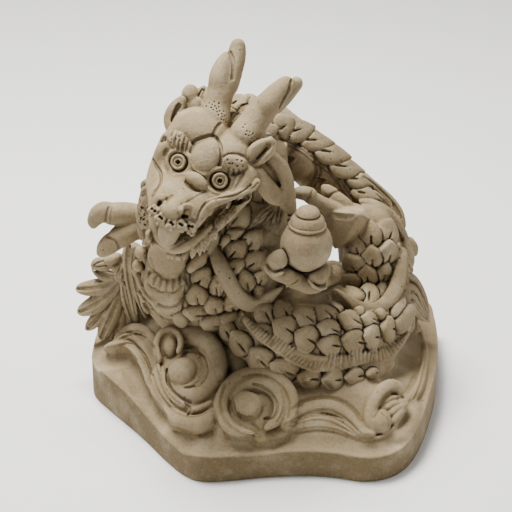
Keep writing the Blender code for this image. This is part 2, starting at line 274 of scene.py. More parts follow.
    def petal(self, p, n, tip, length, width, thick, lift=14.0, taper=0.2, slit=1.0,
              slit_to=0.0, k=0.25, power=2.2, point=0.5, edge=0.85, dome=2.6, sink=0.1):
        """A pressed-on clay scale: a pillow with a raised point, a slit at its root, and
        the fine gap the modelling tool leaves all round it."""
        e3 = unit(n)
        e1 = unit(tip - e3 * (tip @ e3))
        e2 = np.cross(e3, e1)
        b = math.radians(lift)
        f1 = e1 * math.cos(b) + e3 * math.sin(b)
        f3 = e3 * math.cos(b) - e1 * math.sin(b)
        A = np.stack([f1, e2, f3]).astype(np.float32)
        c = (np.asarray(p) + e3 * thick * sink).astype(np.float32)
        ha, hb, hc = np.float32(length / 2), np.float32(width / 2), np.float32(thick)
        reach = np.sqrt((A[0] * ha) ** 2 + (A[1] * hb * 1.3) ** 2 + (A[2] * hc) ** 2) + 3.5
        P, D = np.float32(power), np.float32(dome)

        def f(X, Y, Z):
            x, y, z = X - c[0], Y - c[1], Z - c[2]
            px = ((x * A[0, 0] + y * A[0, 1]) + z * A[0, 2]) / ha
            py = ((x * A[1, 0] + y * A[1, 1]) + z * A[1, 2]) / hb
            pz = ((x * A[2, 0] + y * A[2, 1]) + z * A[2, 2]) / hc
            t = np.clip(px, 0, 1.2)
            py = py / np.clip(1 + 0.3 * taper - taper * px - point * t * t, 0.3, 1.4)
            k1 = np.sqrt((px / ha) ** 2 + (py / hb) ** 2 + (pz / hc) ** 2) + np.float32(1e-6)
            flat = (np.abs(px) ** P + np.abs(py) ** P) ** (D / P)
            k0 = (flat + np.abs(pz) ** D) ** (1 / D) + np.float32(1e-6)
            return k0 * (k0 - 1) / k1
        if edge > 0:
            self.blend(c - reach, c + reach, lambda X, Y, Z: f(X, Y, Z) - np.float32(edge), 0.0, cut=True)
        self.blend(c - reach, c + reach, f, k)
        if slit > 0:
            s = (np.asarray(p) + f1 * (-0.22 + slit_to) * length + f3 * thick * (0.85 + sink))
            self.nick(s, f1, f3, length * 0.27 * slit, 1.3, thick * 0.7)

    def nick(self, at_, along, out, half, wide, deep):
        """A short wedge pressed in with the corner of a tool, wide at its back end."""
        e1 = unit(along)
        e3 = unit(out - e1 * (out @ e1))
        e2 = np.cross(e3, e1)
        A = np.stack([e1, e2, e3]).astype(np.float32)
        c = np.asarray(at_, np.float32)
        ha, hb, hc = np.float32(half), np.float32(wide), np.float32(deep)
        reach = half + deep + 2.0

        def f(X, Y, Z):
            x, y, z = X - c[0], Y - c[1], Z - c[2]
            px = ((x * A[0, 0] + y * A[0, 1]) + z * A[0, 2]) / ha
            py = ((x * A[1, 0] + y * A[1, 1]) + z * A[1, 2]) / hb
            pz = ((x * A[2, 0] + y * A[2, 1]) + z * A[2, 2]) / hc
            py = py / np.clip(0.75 - 0.55 * px, 0.2, 1.4)
            k1 = np.sqrt((px / ha) ** 2 + (py / hb) ** 2 + (pz / hc) ** 2) + np.float32(1e-6)
            k0 = np.sqrt(px ** 2 + py ** 2 + pz ** 2) + np.float32(1e-6)
            return k0 * (k0 - 1) / k1
        self.blend(c - reach, c + reach, f, 0.0, cut=True)

    # -- measuring ---------------------------------------------------------------
    def sample(self, P):
        q = (np.asarray(P, np.float32) - self.lo) / np.float32(self.h)
        q = np.clip(q, 0, (self.n - 1.001).astype(np.float32))
        i = q.astype(int)
        t = q - i
        d = self.d
        out = 0
        for a in (0, 1):
            for b in (0, 1):
                for c in (0, 1):
                    w = ((t[..., 0] if a else 1 - t[..., 0]) * (t[..., 1] if b else 1 - t[..., 1])
                         * (t[..., 2] if c else 1 - t[..., 2]))
                    out = out + w * d[i[..., 0] + a, i[..., 1] + b, i[..., 2] + c]
        return out

    def normal(self, P, e=1.6):
        P = np.asarray(P, float)
        g = [self.sample(P + np.eye(3)[k] * e) - self.sample(P - np.eye(3)[k] * e) for k in range(3)]
        return unit(np.stack(g, -1))

    def strike(self, start, way, reach):
        """First skin met going from start along way; rows of start and way."""
        start, way = np.atleast_2d(start), np.atleast_2d(way)
        t = np.arange(0, reach, self.h * 0.6)
        P = start[:, None, :] + way[:, None, :] * t[None, :, None]
        hi = self.lo + (self.n - 1) * self.h
        ok = np.all((P >= self.lo) & (P <= hi), axis=-1)
        v = np.where(ok, self.sample(P), FAR)
        inside = v < 0
        hit = inside.any(1)
        j = np.maximum(inside.argmax(1), 1)
        r = np.arange(len(j))
        v0, v1 = v[r, j - 1], v[r, j]
        tt = t[j - 1] + (t[j] - t[j - 1]) * v0 / (v0 - v1 + 1e-9)
        return start + way * tt[:, None], hit

    def drape(self, uv):
        """Skin points seen through drawing points uv, with outward normals."""
        way = sight(uv)
        start = EYE + way * (EYE_AWAY - 240.0)
        P, hit = self.strike(start, way, 480.0)
        return P, self.normal(P), hit

    def draw(self, uv, radius, depth=None, k=0.0, cut=True, per=5, lift=0.0):
        """Press (or lay) a round tool along a line of the drawing, over the skin."""
        line = curve(np.array([list(q) for q in uv], float), per)
        P, N, hit = self.drape(line)
        r = np.linspace(radius[0], radius[1], len(P)) if isinstance(radius, tuple) else np.full(len(P), radius)
        off = r * (1 - (depth if depth is not None else 1.0)) + lift
        P = P + N * off[:, None]
        rows = np.concatenate([P, r[:, None]], 1)[hit]
        if len(rows) > 1:
            self.rod(rows, k, cut)
        return P, N

    def dots(self, uv, radius, depth=1.0):
        P, N, hit = self.drape(uv)
        for p, n, h in zip(P, N, hit):
            if h:
                self.rod(np.array([list(p + n * radius) + [radius],
                                   list(p - n * depth) + [radius * 0.7]]), 0, True)


def skin(clay, close=True):
    """Surface net over the zero level of the field; returns points and quads."""
    d = clay.d
    if close:
        for ax in range(3):
            for e in (0, -1):
                s = [slice(None)] * 3
                s[ax] = e
                d[tuple(s)] = np.maximum(d[tuple(s)], 0.3)
    inside = d < 0
    nx, ny, nz = d.shape
    cnt = np.zeros((nx - 1, ny - 1, nz - 1), np.uint8)
    for i in (0, 1):
        for j in (0, 1):
            for k in (0, 1):
                cnt += inside[i:nx - 1 + i, j:ny - 1 + j, k:nz - 1 + k]
    mixed = (cnt > 0) & (cnt < 8)
    ijk = np.argwhere(mixed)
    idx = np.full(mixed.shape, -1, np.int32)
    idx[mixed] = np.arange(len(ijk), dtype=np.int32)
    flat = d.ravel()
    base = (ijk[:, 0].astype(np.int64) * ny + ijk[:, 1]) * nz + ijk[:, 2]
    off = [(0, 0, 0), (1, 0, 0), (0, 1, 0), (1, 1, 0), (0, 0, 1), (1, 0, 1), (0, 1, 1), (1, 1, 1)]
    vals = np.stack([flat[base + (o[0] * ny + o[1]) * nz + o[2]] for o in off], 1)
    acc = np.zeros((len(ijk), 3), np.float32)
    n = np.zeros(len(ijk), np.float32)
    for a, b in ((0, 1), (2, 3), (4, 5), (6, 7), (0, 2), (1, 3), (4, 6), (5, 7), (0, 4), (1, 5), (2, 6), (3, 7)):
        va, vb = vals[:, a], vals[:, b]
        m = (va < 0) != (vb < 0)
        t = np.where(m, va / np.where(va == vb, 1, va - vb), 0)
        pa, pb = np.array(off[a], np.float32), np.array(off[b], np.float32)
        acc += m[:, None] * (pa + t[:, None] * (pb - pa))
        n += m
    v = (ijk + acc / n[:, None]) * clay.h + clay.lo
    quads = []
    for ax in range(3):
        u, w = (ax + 1) % 3, (ax + 2) % 3
        s0, s1 = [slice(None)] * 3, [slice(None)] * 3
        s0[ax], s1[ax] = slice(0, -1), slice(1, None)
        s0[u] = s1[u] = slice(1, -1)
        s0[w] = s1[w] = slice(1, -1)
        a, b = inside[tuple(s0)], inside[tuple(s1)]
        for flip, m in ((False, a & ~b), (True, b & ~a)):
            e = np.argwhere(m)
            if not len(e):
                continue
            e[:, u] += 1
            e[:, w] += 1

            def cell(du, dw, e=e):
                c = e.copy()
                c[:, u] += du
                c[:, w] += dw
                return idx[c[:, 0], c[:, 1], c[:, 2]]
            q = np.stack([cell(-1, -1), cell(0, -1), cell(0, 0), cell(-1, 0)], 1)
            quads.append(q[:, ::-1] if flip else q)
    return v, np.concatenate(quads)


def hollows(clay, v):
    """How shut-in each skin point is, 0 open to 1 deep in a crevice, and how much it stands out; they set the painted
    shade and the painted highlight.
    """
    n = clay.normal(v, 0.9)
    out = np.zeros(len(v))
    for s, w in ((1.1, 0.30), (2.2, 0.30), (3.6, 0.22), (6.0, 0.18)):
        out += w * np.clip(1 - clay.sample(v + n * s) / s, 0, 1)
    painted_highlight = np.zeros(len(v))
    for s, w in ((1.2, 0.5), (2.4, 0.5)):
        painted_highlight += w * np.clip(1 + clay.sample(v - n * s) / s, 0, 1)
    return out, painted_highlight


# ------------------------------------------------------------------ the ridge base with its waves
PLAN = [(-151, 22), (-150, 8), (-146, -4), (-130, -27), (-103, -64), (-81, -98), (-65, -119),
        (-50, -128), (-26, -127), (5, -122), (38, -120), (62, -123), (82, -128), (103, -124),
        (120, -109), (134, -80), (145, -43), (153, -9), (159, 40), (160, 84), (156, 112),
        (130, 132), (60, 138), (-50, 138), (-112, 128), (-138, 96), (-149, 58)]
BACK_Y = 108.0


def smooth(t):
    t = np.clip(t, 0, 1)
    return t * t * (3 - 2 * t)


def outline_distance(X, Y, loop):
    """Signed distance to a closed outline in plan, negative inside."""
    x, y = np.broadcast_arrays(X, Y)
    best = np.full(x.shape, 1e9)
    inside = np.zeros(x.shape, bool)
    for a, b in zip(loop, np.roll(loop, -1, axis=0)):
        e = b - a
        wx, wy = x - a[0], y - a[1]
        t = np.clip((wx * e[0] + wy * e[1]) / (e @ e), 0, 1)
        best = np.minimum(best, (wx - t * e[0]) ** 2 + (wy - t * e[1]) ** 2)
        c = (a[1] > y) != (b[1] > y)
        if abs(e[1]) > 1e-9:
            inside ^= c & (x < a[0] + (y - a[1]) * e[0] / e[1])
    return np.where(inside, -1, 1) * np.sqrt(best)


def deck_height(y, inset):
    """Height of the deck: a low wall, higher at the back, and a hillside inside its rim."""
    wall = 27 + 9 * smooth((y + 125) / 110)
    return wall - 0.5 * np.exp(-np.maximum(inset, 0) / 1.5) + 4.0 * smooth((inset - 2) / 13) \
        + 24 * smooth((inset - 8) / 50)


def plane_at(uv, centre, normal):
    d = sight(uv)
    c, n = np.asarray(centre, float), unit(normal)
    t = ((c - EYE) @ n) / (d @ n)
    return EYE + d * t[:, None]


def disc_path(points, centre, normal, per=6):
    """Drawing points (u, v) with a girth and an optional rise, laid on a tilted plane."""
    p = plane_at([q[0] for q in points], centre, normal)
    n = unit(normal)
    rise = np.array([q[2] if len(q) > 2 else 0.0 for q in points])
    rows = np.concatenate([p + n * rise[:, None], np.array([[q[1]] for q in points])], 1)
    return curve(rows, per)


def make_base():
    c = Clay((-159, -136, -2), (168, 111, 104), 0.92)
    loop = curve(np.array(PLAN, float), 6, closed=True)
    x, y = c.ax[0][:, None], c.ax[1][None, :]
    sd = outline_distance(x, y, loop)
    top = deck_height(y, -sd)
    inner = np.maximum(sd, y - BACK_Y)
    Z = c.ax[2][None, None, :]
    side = inner[:, :, None].astype(np.float32)
    lid = ((Z - top[:, :, None]) * 0.88).astype(np.float32)
    r = np.float32(1.3)
    a, b = side + r, lid + r
    d = np.minimum(np.maximum(a, b), 0) + np.sqrt(np.maximum(a, 0) ** 2 + np.maximum(b, 0) ** 2) - r
    # the clay is cut flat where it stands on the floor
    c.d = np.maximum(d, -Z).astype(np.float32)
    hill = Clay.__new__(Clay)
    hill.__dict__.update(c.__dict__)
    hill.d = c.d.copy()

    up = np.array([0, -0.545, 0.839])

    # ---- first spiral, upper left, standing out of the hillside
    s1 = np.array([-66.0, -66.0, 62.0])
    n1 = unit([-0.18, -0.50, 0.85])
    c.egg(s1 - n1 * 9, (31, 33, 14), np.stack([unit(np.cross([0, 1, 0], n1)), unit(np.cross(n1, np.cross([0, 1, 0], n1))), n1]), 5)
    ring = disc_path([((-79, -81.6), 5, -3), ((-76.5, -70.5), 6.5, -2), ((-62.9, -65.5), 8, -1), ((-47.6, -69.7), 8.6), ((-37.4, -79.9), 8.8),
                      ((-34, -93.5), 8.8), ((-38.2, -106.2), 8.4), ((-48.4, -114.8), 7.4), ((-58.6, -116.5), 5.6, -1), ((-64.6, -112.2), 4, -2)], s1, n1)
    c.rod(ring, 3.0)
    # hollow round the ball
    c.rod(disc_path([((-61.2, -80.8), 2.2, 8.6), ((-51, -82.9), 3.0, 8.6), ((-43.8, -91), 3.2, 8.2), ((-43.4, -102), 3.0, 7.8), ((-49.3, -111.3), 2.6, 7.5), ((-57.8, -114.8), 1.8, 7.5)], s1, n1), 0.8, True)
    c.rod(disc_path([((-59.5, -76.9), 1.0, 9.6), ((-48.4, -79.5), 1.2, 9.8), ((-40.8, -88.4), 1.2, 9.6), ((-39.9, -100.3), 1.0, 9.2)], s1, n1), 0.4, True)
    c.egg(plane_at([(-62, -99.9)], s1, n1)[0] + n1 * 0.8, (13.4, 14.0, 10.6),
          np.stack([unit(np.cross([0, 1, 0], n1)), unit(np.cross(n1, np.cross([0, 1, 0], n1))), n1]), 1.0)
    # oval loop above the ball with its tiny curl
    c.rod(disc_path([((-80.8, -90.1), 2.2, 5), ((-83.3, -79.9), 2.3, 6.4), ((-79.9, -70.5), 2.4, 7.4), ((-72.2, -66), 2.4, 8), ((-64.6, -69.4), 2.3, 8.4), ((-62, -78.2), 2.1, 8.4), ((-64.1, -85.8), 1.8, 8.4)], s1, n1), 1.6)
    c.egg(plane_at([(-72.2, -79)], s1, n1)[0] + n1 * 3.4, (6.0, 9.0, 5.4), np.stack([unit(np.cross([0, 1, 0], n1)), unit(np.cross(n1, np.cross([0, 1, 0], n1))), n1]), 0.4)
    c.rod(disc_path([((-78.6, -87.5), 0.9, 7.6), ((-78.7, -79), 1.1, 8.4), ((-75.6, -72.8), 1.1, 9.2), ((-69.7, -72.1), 1.1, 9.8), ((-66.3, -77.3), 1.1, 9.8), ((-66.8, -84.1), 0.9, 9.6)], s1, n1), 0.3, True)
    c.rod(disc_path([((-74, -86.7), 1.0, 8.8), ((-74.8, -80.8), 1.1, 9.4), ((-68.8, -79), 1.1, 10), ((-68, -85.8), 1.0, 9.6)], s1, n1), 0.4, True)

    # ---- ropes that sweep from the back left corner down under the first spiral
    ropes = [
        # hump at the back, then the strand it sends down, then the broad rope that ends in a blunt lobe
        ([((-118.1, -72.2), 3), ((-112.2, -66.3), 4.6), ((-102.8, -63.8), 5.6), ((-93.5, -67.6), 5.8), ((-86.7, -76.5), 5.2), ((-84.1, -88.4), 4.6), ((-81.6, -102), 4.2), ((-76.5, -114.8), 4.0), ((-69.7, -124.1), 3.8), ((-61.2, -129.2), 3.2), ((-56.1, -127.5), 2.2)], 2.4, 1.2),
        ([((-119, -75.6), 2.6), ((-110.5, -71.4), 3.4), ((-101.1, -74), 3.8), ((-93.5, -82.5), 4.0), ((-88.4, -95.2), 4.0), ((-84.1, -108.8), 4.0), ((-77.3, -121.5), 4.2), ((-68, -130.9), 4.4), ((-57.8, -134.3), 4.2), ((-47.6, -132.6), 3.8), ((-39.1, -127.5), 2.6)], 4.2, 0.3),
        ([((-131.8, -89.2), 3), ((-125, -82.9), 5.2), ((-116.5, -79.9), 6.4), ((-108, -82.5), 6.8), ((-100.7, -91), 7.2), ((-94.3, -103.3), 7.8), ((-88, -117.3), 8.2), ((-80.3, -130.5), 8.4), ((-70.5, -139.8), 8.2), ((-58.6, -145.3), 7.8), ((-48.4, -145.8), 7.8), ((-41.2, -142.4), 7.0), ((-38.2, -138.1), 5.0)], 4.8, 0.5),
    ]
    base_ropes = []
    for pts, lift, k in ropes:
        uv = [p[0] for p in pts]
        line = curve(np.array([list(q) + [g] for (q, g) in pts], float), 5)
        P, N, hit = hill.drape(line[:, :2])
        P = P + unit([0, -0.4, 0.9]) * lift
        rows = np.concatenate([P, line[:, 2:3]], 1)[hit]
        c.rod(rows, k)
        base_ropes.append(rows)
    # combed lines on the inner side of the ropes
    for pts, r, dep in (
            ([(-113.9, -69.7), (-103.7, -66.3), (-92.6, -70.5), (-86.3, -79.9), (-83.7, -93.5), (-80.8, -107.1), (-74.8, -119), (-67.1, -125.8)], (1.3, 0.7), 1.4),
            ([(-117.3, -76.1), (-109.6, -73.5), (-101.1, -76.9), (-93.5, -86.7), (-88.8, -98.6), (-85, -111.3), (-78.6, -122.4), (-70.5, -130.9), (-61.2, -135.6), (-50.1, -136), (-40.8, -131.8)], (1.4, 0.8), 1.6),
            ([(-121.5, -77.8), (-112.2, -75.2), (-103.7, -79.5), (-96.9, -87.5), (-91, -100.3), (-85.8, -114.8)], (0.9, 0.6), 1.0),
            ([(-108.8, -65), (-99.5, -64.2), (-90.1, -70.1), (-85, -79.9)], 0.9, 1.0),
            ([(-73.1, -121.5), (-66.3, -129.2), (-57.8, -131.3)], 0.8, 1.1)):
        c.draw(pts, r, dep, 0.3)
    # shadowed foot along the outer flank of the broad rope, and a thin ledge on its top
    c.draw([(-134.3, -91.8), (-125.8, -89.7), (-115.6, -89.2), (-108.8, -93.5), (-102, -104.5), (-96.9, -115.6), (-92.6, -124.1)], 3.0, 0.55, 1.6)
    c.draw([(-129.2, -85), (-119.8, -80.3), (-109.6, -79.9), (-101.1, -86.7), (-94.3, -97.8), (-87.5, -112.2), (-79.9, -125.8), (-70.5, -135.2)], 0.8, 0.9, 0.2)
    # stem that runs from the loop down past the ball
    c.draw([(-81.6, -93.5), (-78.2, -102), (-75.6, -112.2), (-69.7, -120.7), (-61.2, -126.6)], 2.6, 0.9, 1.0, cut=False)
    c.draw([(-75.6, -96.9), (-75.2, -105.4), (-71.4, -113.9), (-64.6, -120.3), (-56.1, -124.1)], 1.6, 1.5, 0.4)
    c.draw([(-79.5, -88.4), (-81.2, -96.9), (-79, -108.8), (-73.1, -119), (-64.6, -126.2)], 1.2, 1.4, 0.4)
    c.draw([(-59.5, -125.8), (-56.1, -130), (-57.4, -135.2)], 1.1, 1.3, 0.3)

    # ---- second spiral, front centre
    s2 = np.array([-13.0, -95.0, 53.0])
    n2 = unit([0.02, -0.50, 0.86])
    ax2 = np.stack([unit(np.cross([0, 1, 0], n2)), unit(np.cross(n2, np.cross([0, 1, 0], n2))), n2])
    c.egg(s2 - n2 * 12, (33, 31, 13), ax2, 5)
    c.rod(disc_path([((25.5, -142.8), 4.5, -3), ((29.8, -130), 5.4, -1.5), ((27.2, -115.6), 6.2), ((16.1, -104.5), 6.6), ((0.8, -101.1), 6.8),
                     ((-14.4, -104.5), 6.4), ((-25.5, -114.8), 5.6), ((-29.8, -127.5), 5.2), ((-25.5, -141.1), 5.0), ((-14.4, -150.4), 5.0, -1), ((0, -154.7), 5.0, -2), ((11.9, -153), 4.8, -3)], s2, n2), 2.0)
    c.rod(disc_path([((10.2, -147), 3.5, 0), ((18.7, -136.8), 4.6, 1), ((20.4, -124.1), 5.2, 1.5), ((13.6, -113), 5.6, 1.5), ((0.8, -108.8), 6.0, 1.5), ((-11, -112.2), 5.6, 1), ((-17.8, -120.7), 4.6, 0)], s2, n2), 1.5)
    c.rod(disc_path([((-20.4, -123.2), 2.2, 4.5), ((-19.6, -135.2), 3.0, 4), ((-11, -144.5), 3.2, 4), ((0, -146.2), 2.8, 4.5), ((8.5, -140.2), 2.2, 5), ((11.9, -130), 2.0, 6), ((8.5, -120.7), 1.8, 7)], s2, n2), 0.8, True)
    c.rod(disc_path([((-22.9, -121.5), 1.3, 6), ((-15.3, -111.3), 1.5, 7), ((-1.7, -105.4), 1.5, 7.6), ((11.9, -108), 1.5, 7.6), ((22.1, -117.3), 1.5, 7), ((24.6, -130.9), 1.4, 6), ((18.7, -142.8), 1.4, 4.4)], s2, n2), 0.6, True)
    c.egg(plane_at([(-7.6, -127.5)], s2, n2)[0] + n2 * 1.5, (12.6, 11.6, 9.5), ax2, 1.0)
    c.draw([(-18.7, -125.8), (-17.8, -131.8), (-13.6, -136.8)], 1.2, 1.3, 0.3)
    c.draw([(-2.5, -142.8), (2.5, -148.8), (5.1, -156.4)], 1.4, 1.0, 0.5)

    # ---- crest between the second and third spirals: one swell combed into thin lines
    for pts, lift, k in (
            ([((17.8, -145.3), 3.6), ((28.9, -139.4), 4.4), ((40.8, -133.9), 5.0), ((53.5, -130.5), 5.2), ((65.5, -131.3), 5.2), ((76.5, -137.3), 4.8), ((85, -145.3), 4.4), ((91.8, -153), 3.8), ((98.6, -155.5), 3.0)], 3.4, 2),
            ([((8.5, -150.4), 3.4), ((22.9, -148.3), 3.8), ((37.4, -143.7), 4.2), ((52.7, -140.7), 4.4), ((67.1, -143.2), 4.2), ((79.9, -149.2), 3.8), ((90.1, -155.1), 3.2), ((100.3, -157.2), 2.6)], 2.4, 1.2),
            ([((5.1, -153), 2.6), ((20.4, -151.7), 3.0), ((37.4, -147.5), 3.2), ((52.7, -145.3), 3.4), ((68, -147.5), 3.2), ((79.9, -152.2), 2.8), ((91.8, -157.2), 2.4), ((103.7, -157.2), 1.8), ((112.2, -154.7), 1.4)], 1.2, 1.4)):
        line = curve(np.array([list(q) + [g] for (q, g) in pts], float), 5)
        P, N, hit = hill.drape(line[:, :2])
        P = P + unit([0, -0.3, 0.95]) * lift
        c.rod(np.concatenate([P, line[:, 2:3]], 1)[hit], k)
    c.draw([(23.8, -143.7), (35.7, -137.7), (49.8, -131.4), (63.8, -131.4), (75.6, -138), (85, -147), (91, -153.8)], 1.0, 1.3, 0.3)
    c.draw([(20.4, -147), (34, -140.7), (45.9, -136.5), (60.4, -135.5), (72.2, -140.2), (82.5, -148.8), (90.1, -155.1)], 1.0, 1.4, 0.3)
    c.draw([(8.5, -149.6), (22.9, -147), (37.4, -141.9), (52.7, -139.7), (66.3, -142.5), (79, -149.1), (89.2, -155.5)], 0.9, 1.3, 0.3)
    c.draw([(6.8, -154.4), (21.2, -153), (37.4, -147.9), (52.7, -145.9), (68, -148.2), (79, -153)], 0.9, 1.1, 0.3)
    c.draw([(30.6, -130.9), (40.8, -124.5), (53.5, -121.1), (67.1, -122), (79.9, -128.3), (88.4, -139.4)], 2.0, 0.5, 1.6)

    # ---- third spiral, right
    s3 = np.array([103.0, -88.0, 47.0])
    n3 = unit([0.28, -0.52, 0.80])
    ax3 = np.stack([unit(np.cross([0, 1, 0], n3)), unit(np.cross(n3, np.cross([0, 1, 0], n3))), n3])
    c.egg(s3 - n3 * 9, (21, 24, 11), ax3, 4)
    c.rod(disc_path([((100.3, -148.8), 3.4, -1.5), ((96.7, -141.9), 4.6, 0), ((96.9, -132.6), 5.0, 1), ((100.3, -123.2), 5.4, 1.6), ((106.7, -115.6), 5.6, 2), ((113.9, -111.3), 5.2, 2),
                     ((119.8, -112.7), 4.4, 1.6), ((123.2, -117.7), 3.0, 1)], s3, n3), 1.6)
    c.rod(disc_path([((86.7, -143.7), 1.6, -1.4), ((92.2, -152.2), 2.2, -2), ((99.5, -155.9), 2.3, -2), ((108.8, -153.5), 2.4, -1.4), ((117.7, -147.4), 2.5, -0.6), ((124.5, -139), 2.5, 0), ((127.2, -129.6), 2.4, 0.4), ((125.8, -121.5), 2.2, 0.6)], s3, n3), 1.2)
    c.rod(disc_path([((103.3, -130.9), 1.2, 4.8), ((105.4, -125.4), 1.8, 4.8), ((109.2, -120.5), 2.2, 4.8), ((114.3, -117.8), 2.2, 4.8), ((119, -120.2), 1.8, 4.4)], s3, n3), 0.6, True)
    c.rod(disc_path([((113.9, -125), 2.8, 4.4), ((117.3, -131.8), 3.0, 4.0), ((114.8, -141.9), 2.4, 3.8)], s3, n3), 1.2, True)
    c.egg(plane_at([(104.7, -140.7)], s3, n3)[0] + n3 * 0.8, (10.2, 10.4, 8.0), ax3, 1.2)
    c.draw([(101.1, -136.8), (103.7, -132.6), (105.8, -127.9)], 0.9, 1.4, 0.2, per=3)
    c.draw([(106.2, -133.4), (109.2, -135.6), (112.2, -139.4), (113, -144.5)], 0.8, 1.2, 0.2, per=4)
    # shell-like lobes that fan out from the hub
    for a_, m_, b_, r_ in (((109.6, -124.5), (115.2, -121.5), (122.4, -122), 2.1), ((110.5, -129.7), (116.9, -126.3), (124.1, -125), 2.3), ((113.9, -134.7), (119.4, -130.5), (125, -127.1), 2.4), ((116, -141.1), (121.1, -135.6), (125.8, -129.6), 2.4)):
        c.rod(disc_path([(a_, r_ * 1.0, 1.2), (m_, r_ * 1.15, 1.6), (b_, r_ * 0.8, 1.4)], s3, n3), 0.8)
    # stem of the third spiral, sweeping up inside the right rim
    pts = [((126.6, -124.1), 3.2), ((132.6, -119), 3.8), ((137.7, -110.5), 3.8), ((141.1, -96.9), 3.4), ((142.4, -79.9), 2.8), ((140.2, -64.6), 2.0)]
    line = curve(np.array([list(q) + [g] for (q, g) in pts], float), 5)
    P, N, hit = hill.drape(line[:, :2])
    c.rod(np.concatenate([P + N * 0.6, line[:, 2:3]], 1)[hit], 3)
    c.draw([(126.6, -130), (133.4, -123.2), (139.4, -111.3), (143.2, -95.2), (144.5, -76.5)], 1.2, 1.0, 0.5)
    c.draw([(121.5, -121.5), (130, -113.9), (136, -100.3), (139.4, -81.6), (138.5, -66.3)], 2.2, 0.7, 1.0)
    # broad hollow between the tail end and the stem
    c.draw([(109.6, -103.7), (120.7, -98.6), (129.2, -85), (133.4, -69.7)], 11, 0.22, 4)
    # soft hollow inside the rim
    c.draw([(-130, -92.6), (-118.1, -90.1), (-108.8, -98.6), (-98.6, -115.6), (-87.5, -134.3), (-74.8, -153), (-59.5, -161.5)], 8, 0.16, 4)
    c.draw([(-59.5, -161.5), (-34.9, -164), (-5.1, -163.2), (28.9, -158.9), (62.9, -159.8), (90.1, -164.9), (108.8, -164), (125.8, -153), (136, -132.6)], 8, 0.10, 4)
    # clay smeared in at the foot of the spirals and between the first spiral and the coil
    for pts in ([((-26.3, -68), 9, 12), ((-22.1, -79), 9, 11), ((-17.8, -89.2), 8, 9), ((-12.8, -97.8), 7, 5)],
                [((1.7, -156.4), 4.0, -0.4), ((11.9, -154.7), 4.4, 0.0), ((22.9, -151.3), 4.0, -0.4)],
                [((120.7, -153), 4, -2.2), ((129.2, -145.3), 4.5, -2.4), ((133, -134.3), 4.5, -2.6), ((133.4, -125.8), 4, -2.4)],
                ):
        line = curve(np.array([list(q) + [g, e] for (q, g, e) in pts], float), 4)
        P, N, hit = hill.drape(line[:, :2])
        P = P + unit([0, -0.3, 0.95]) * line[:, 3:4] - N * 0.35 * line[:, 2:3]
        c.rod(np.concatenate([P, line[:, 2:3]], 1)[hit], 6)
    # crisp tool lines that part the bands of the first two spirals
    for pts, r, dep in (
            ([(-11, -102.8), (-0.8, -101.1), (9.3, -102.5), (18.7, -108), (25.9, -117.3), (28.9, -128.3), (27.2, -137.7)], 0.9, 1.2),
            ([(-1.7, -109.2), (5.1, -111.3), (11.9, -116.5), (17, -124.1), (17.5, -131.8), (13.6, -137.4), (7.6, -138.5)], 1.3, 1.5),
            ([(-26.3, -108.8), (-30.1, -120.7), (-28.9, -132.6), (-22.9, -144.1), (-12.8, -150.4), (-1.7, -152.5)], 1.1, 1.3),
            ([(-19.2, -124.1), (-17, -131.8), (-11, -136.3), (-3.4, -136.8)], 1.0, 1.4),
            ([(-60.4, -82.1), (-53.5, -81.3), (-46.3, -84.7), (-41.6, -91.8), (-42, -100.3), (-46.8, -108), (-54, -111.3), (-60.4, -111.7)], 1.3, 1.5),
            ([(-61.2, -78.5), (-51.9, -77.5), (-43.4, -81.6), (-38.8, -89.2)], 0.8, 1.2),
            ([(-75.1, -96.9), (-76.2, -104.5), (-73.1, -112.2)], 1.5, 1.3)):
        c.draw(pts, r, dep, 0.2)
    # plain waves round the hidden sides and back
    for x0, x1, r in ((-128, -60, 9), (-48, 22, 11), (36, 96, 9), (108, 146, 7)):
        m = (x0 + x1) / 2
        pts = []
        for t in np.linspace(-1, 1, 9):
            xx = m + t * (x1 - x0) / 2
            pts.append([xx, 96 - 6 * (1 - t * t), 62 + 9 * (1 - t * t) - 3, r * 0.5 * (1 - 0.5 * abs(t))])
        c.rod(curve(np.array(pts), 4), 4)
    c.d = np.maximum(c.d, (c.ax[1] - np.float32(BACK_Y))[None, :, None])
    c.d = np.maximum(c.d, -c.ax[2][None, None, :])
    return c


# ------------------------------------------------------------------ the serpent body
TRUNK = np.array([
    (-39, -5, 234, 26), (-59, 0, 191, 28), (-71, -2, 149, 31), (-69, 2, 106, 33), (-43, 4, 94, 36),
    (-20, 8, 120, 37), (-10, 14, 160, 36), (-10, 28, 191, 33), (-8, 46, 214, 29), (-2, 62, 234, 25),
    (22.4, 68, 218, 22), (45.4, 72, 197.6, 23), (66, 74, 174, 24), (84.5, 71, 153, 27), (95.5, 62, 132, 28.5),
    (100, 50, 104, 30), (103, 32, 84, 32), (96, 6, 75, 33), (71, -20, 75, 34), (37, -37, 79, 34),
    (7, -32, 82, 31), (-12, -18, 80, 27), (-30, 6, 74, 24), (-59, 30, 72, 20), (-95, 42, 77, 16),
    (-121, 45, 94, 12)], float)
# the way the belly faces at some stations
BELLY = {0: (-.3, -.94, -.15), 2: (-.32, -.94, 0), 3: (-.35, -.9, -.1), 4: (-.25, -.5, -.8), 5: (-.85, .5, .1),
         7: (-.9, .4, .0), 8: (-.6, .1, -.8), 9: (-.4, -.62, -.65), 11: (-.42, -.76, -.5), 13: (-.6, -.7, -.38),
         14: (-.8, -.55, -.2), 15: (-.95, -.2, -.2), 17: (-.6, .7, -.4), 19: (-.1, .6, -.8), 22: (.1, .3, -.95), 25: (.3, .1, -.95)}
PROUD = 3.0                                       # how far scales stand off the body
PER = 8


def trunk_span(a, b):
    return curve(TRUNK, PER)[int(a * PER):int(b * PER) + 1]


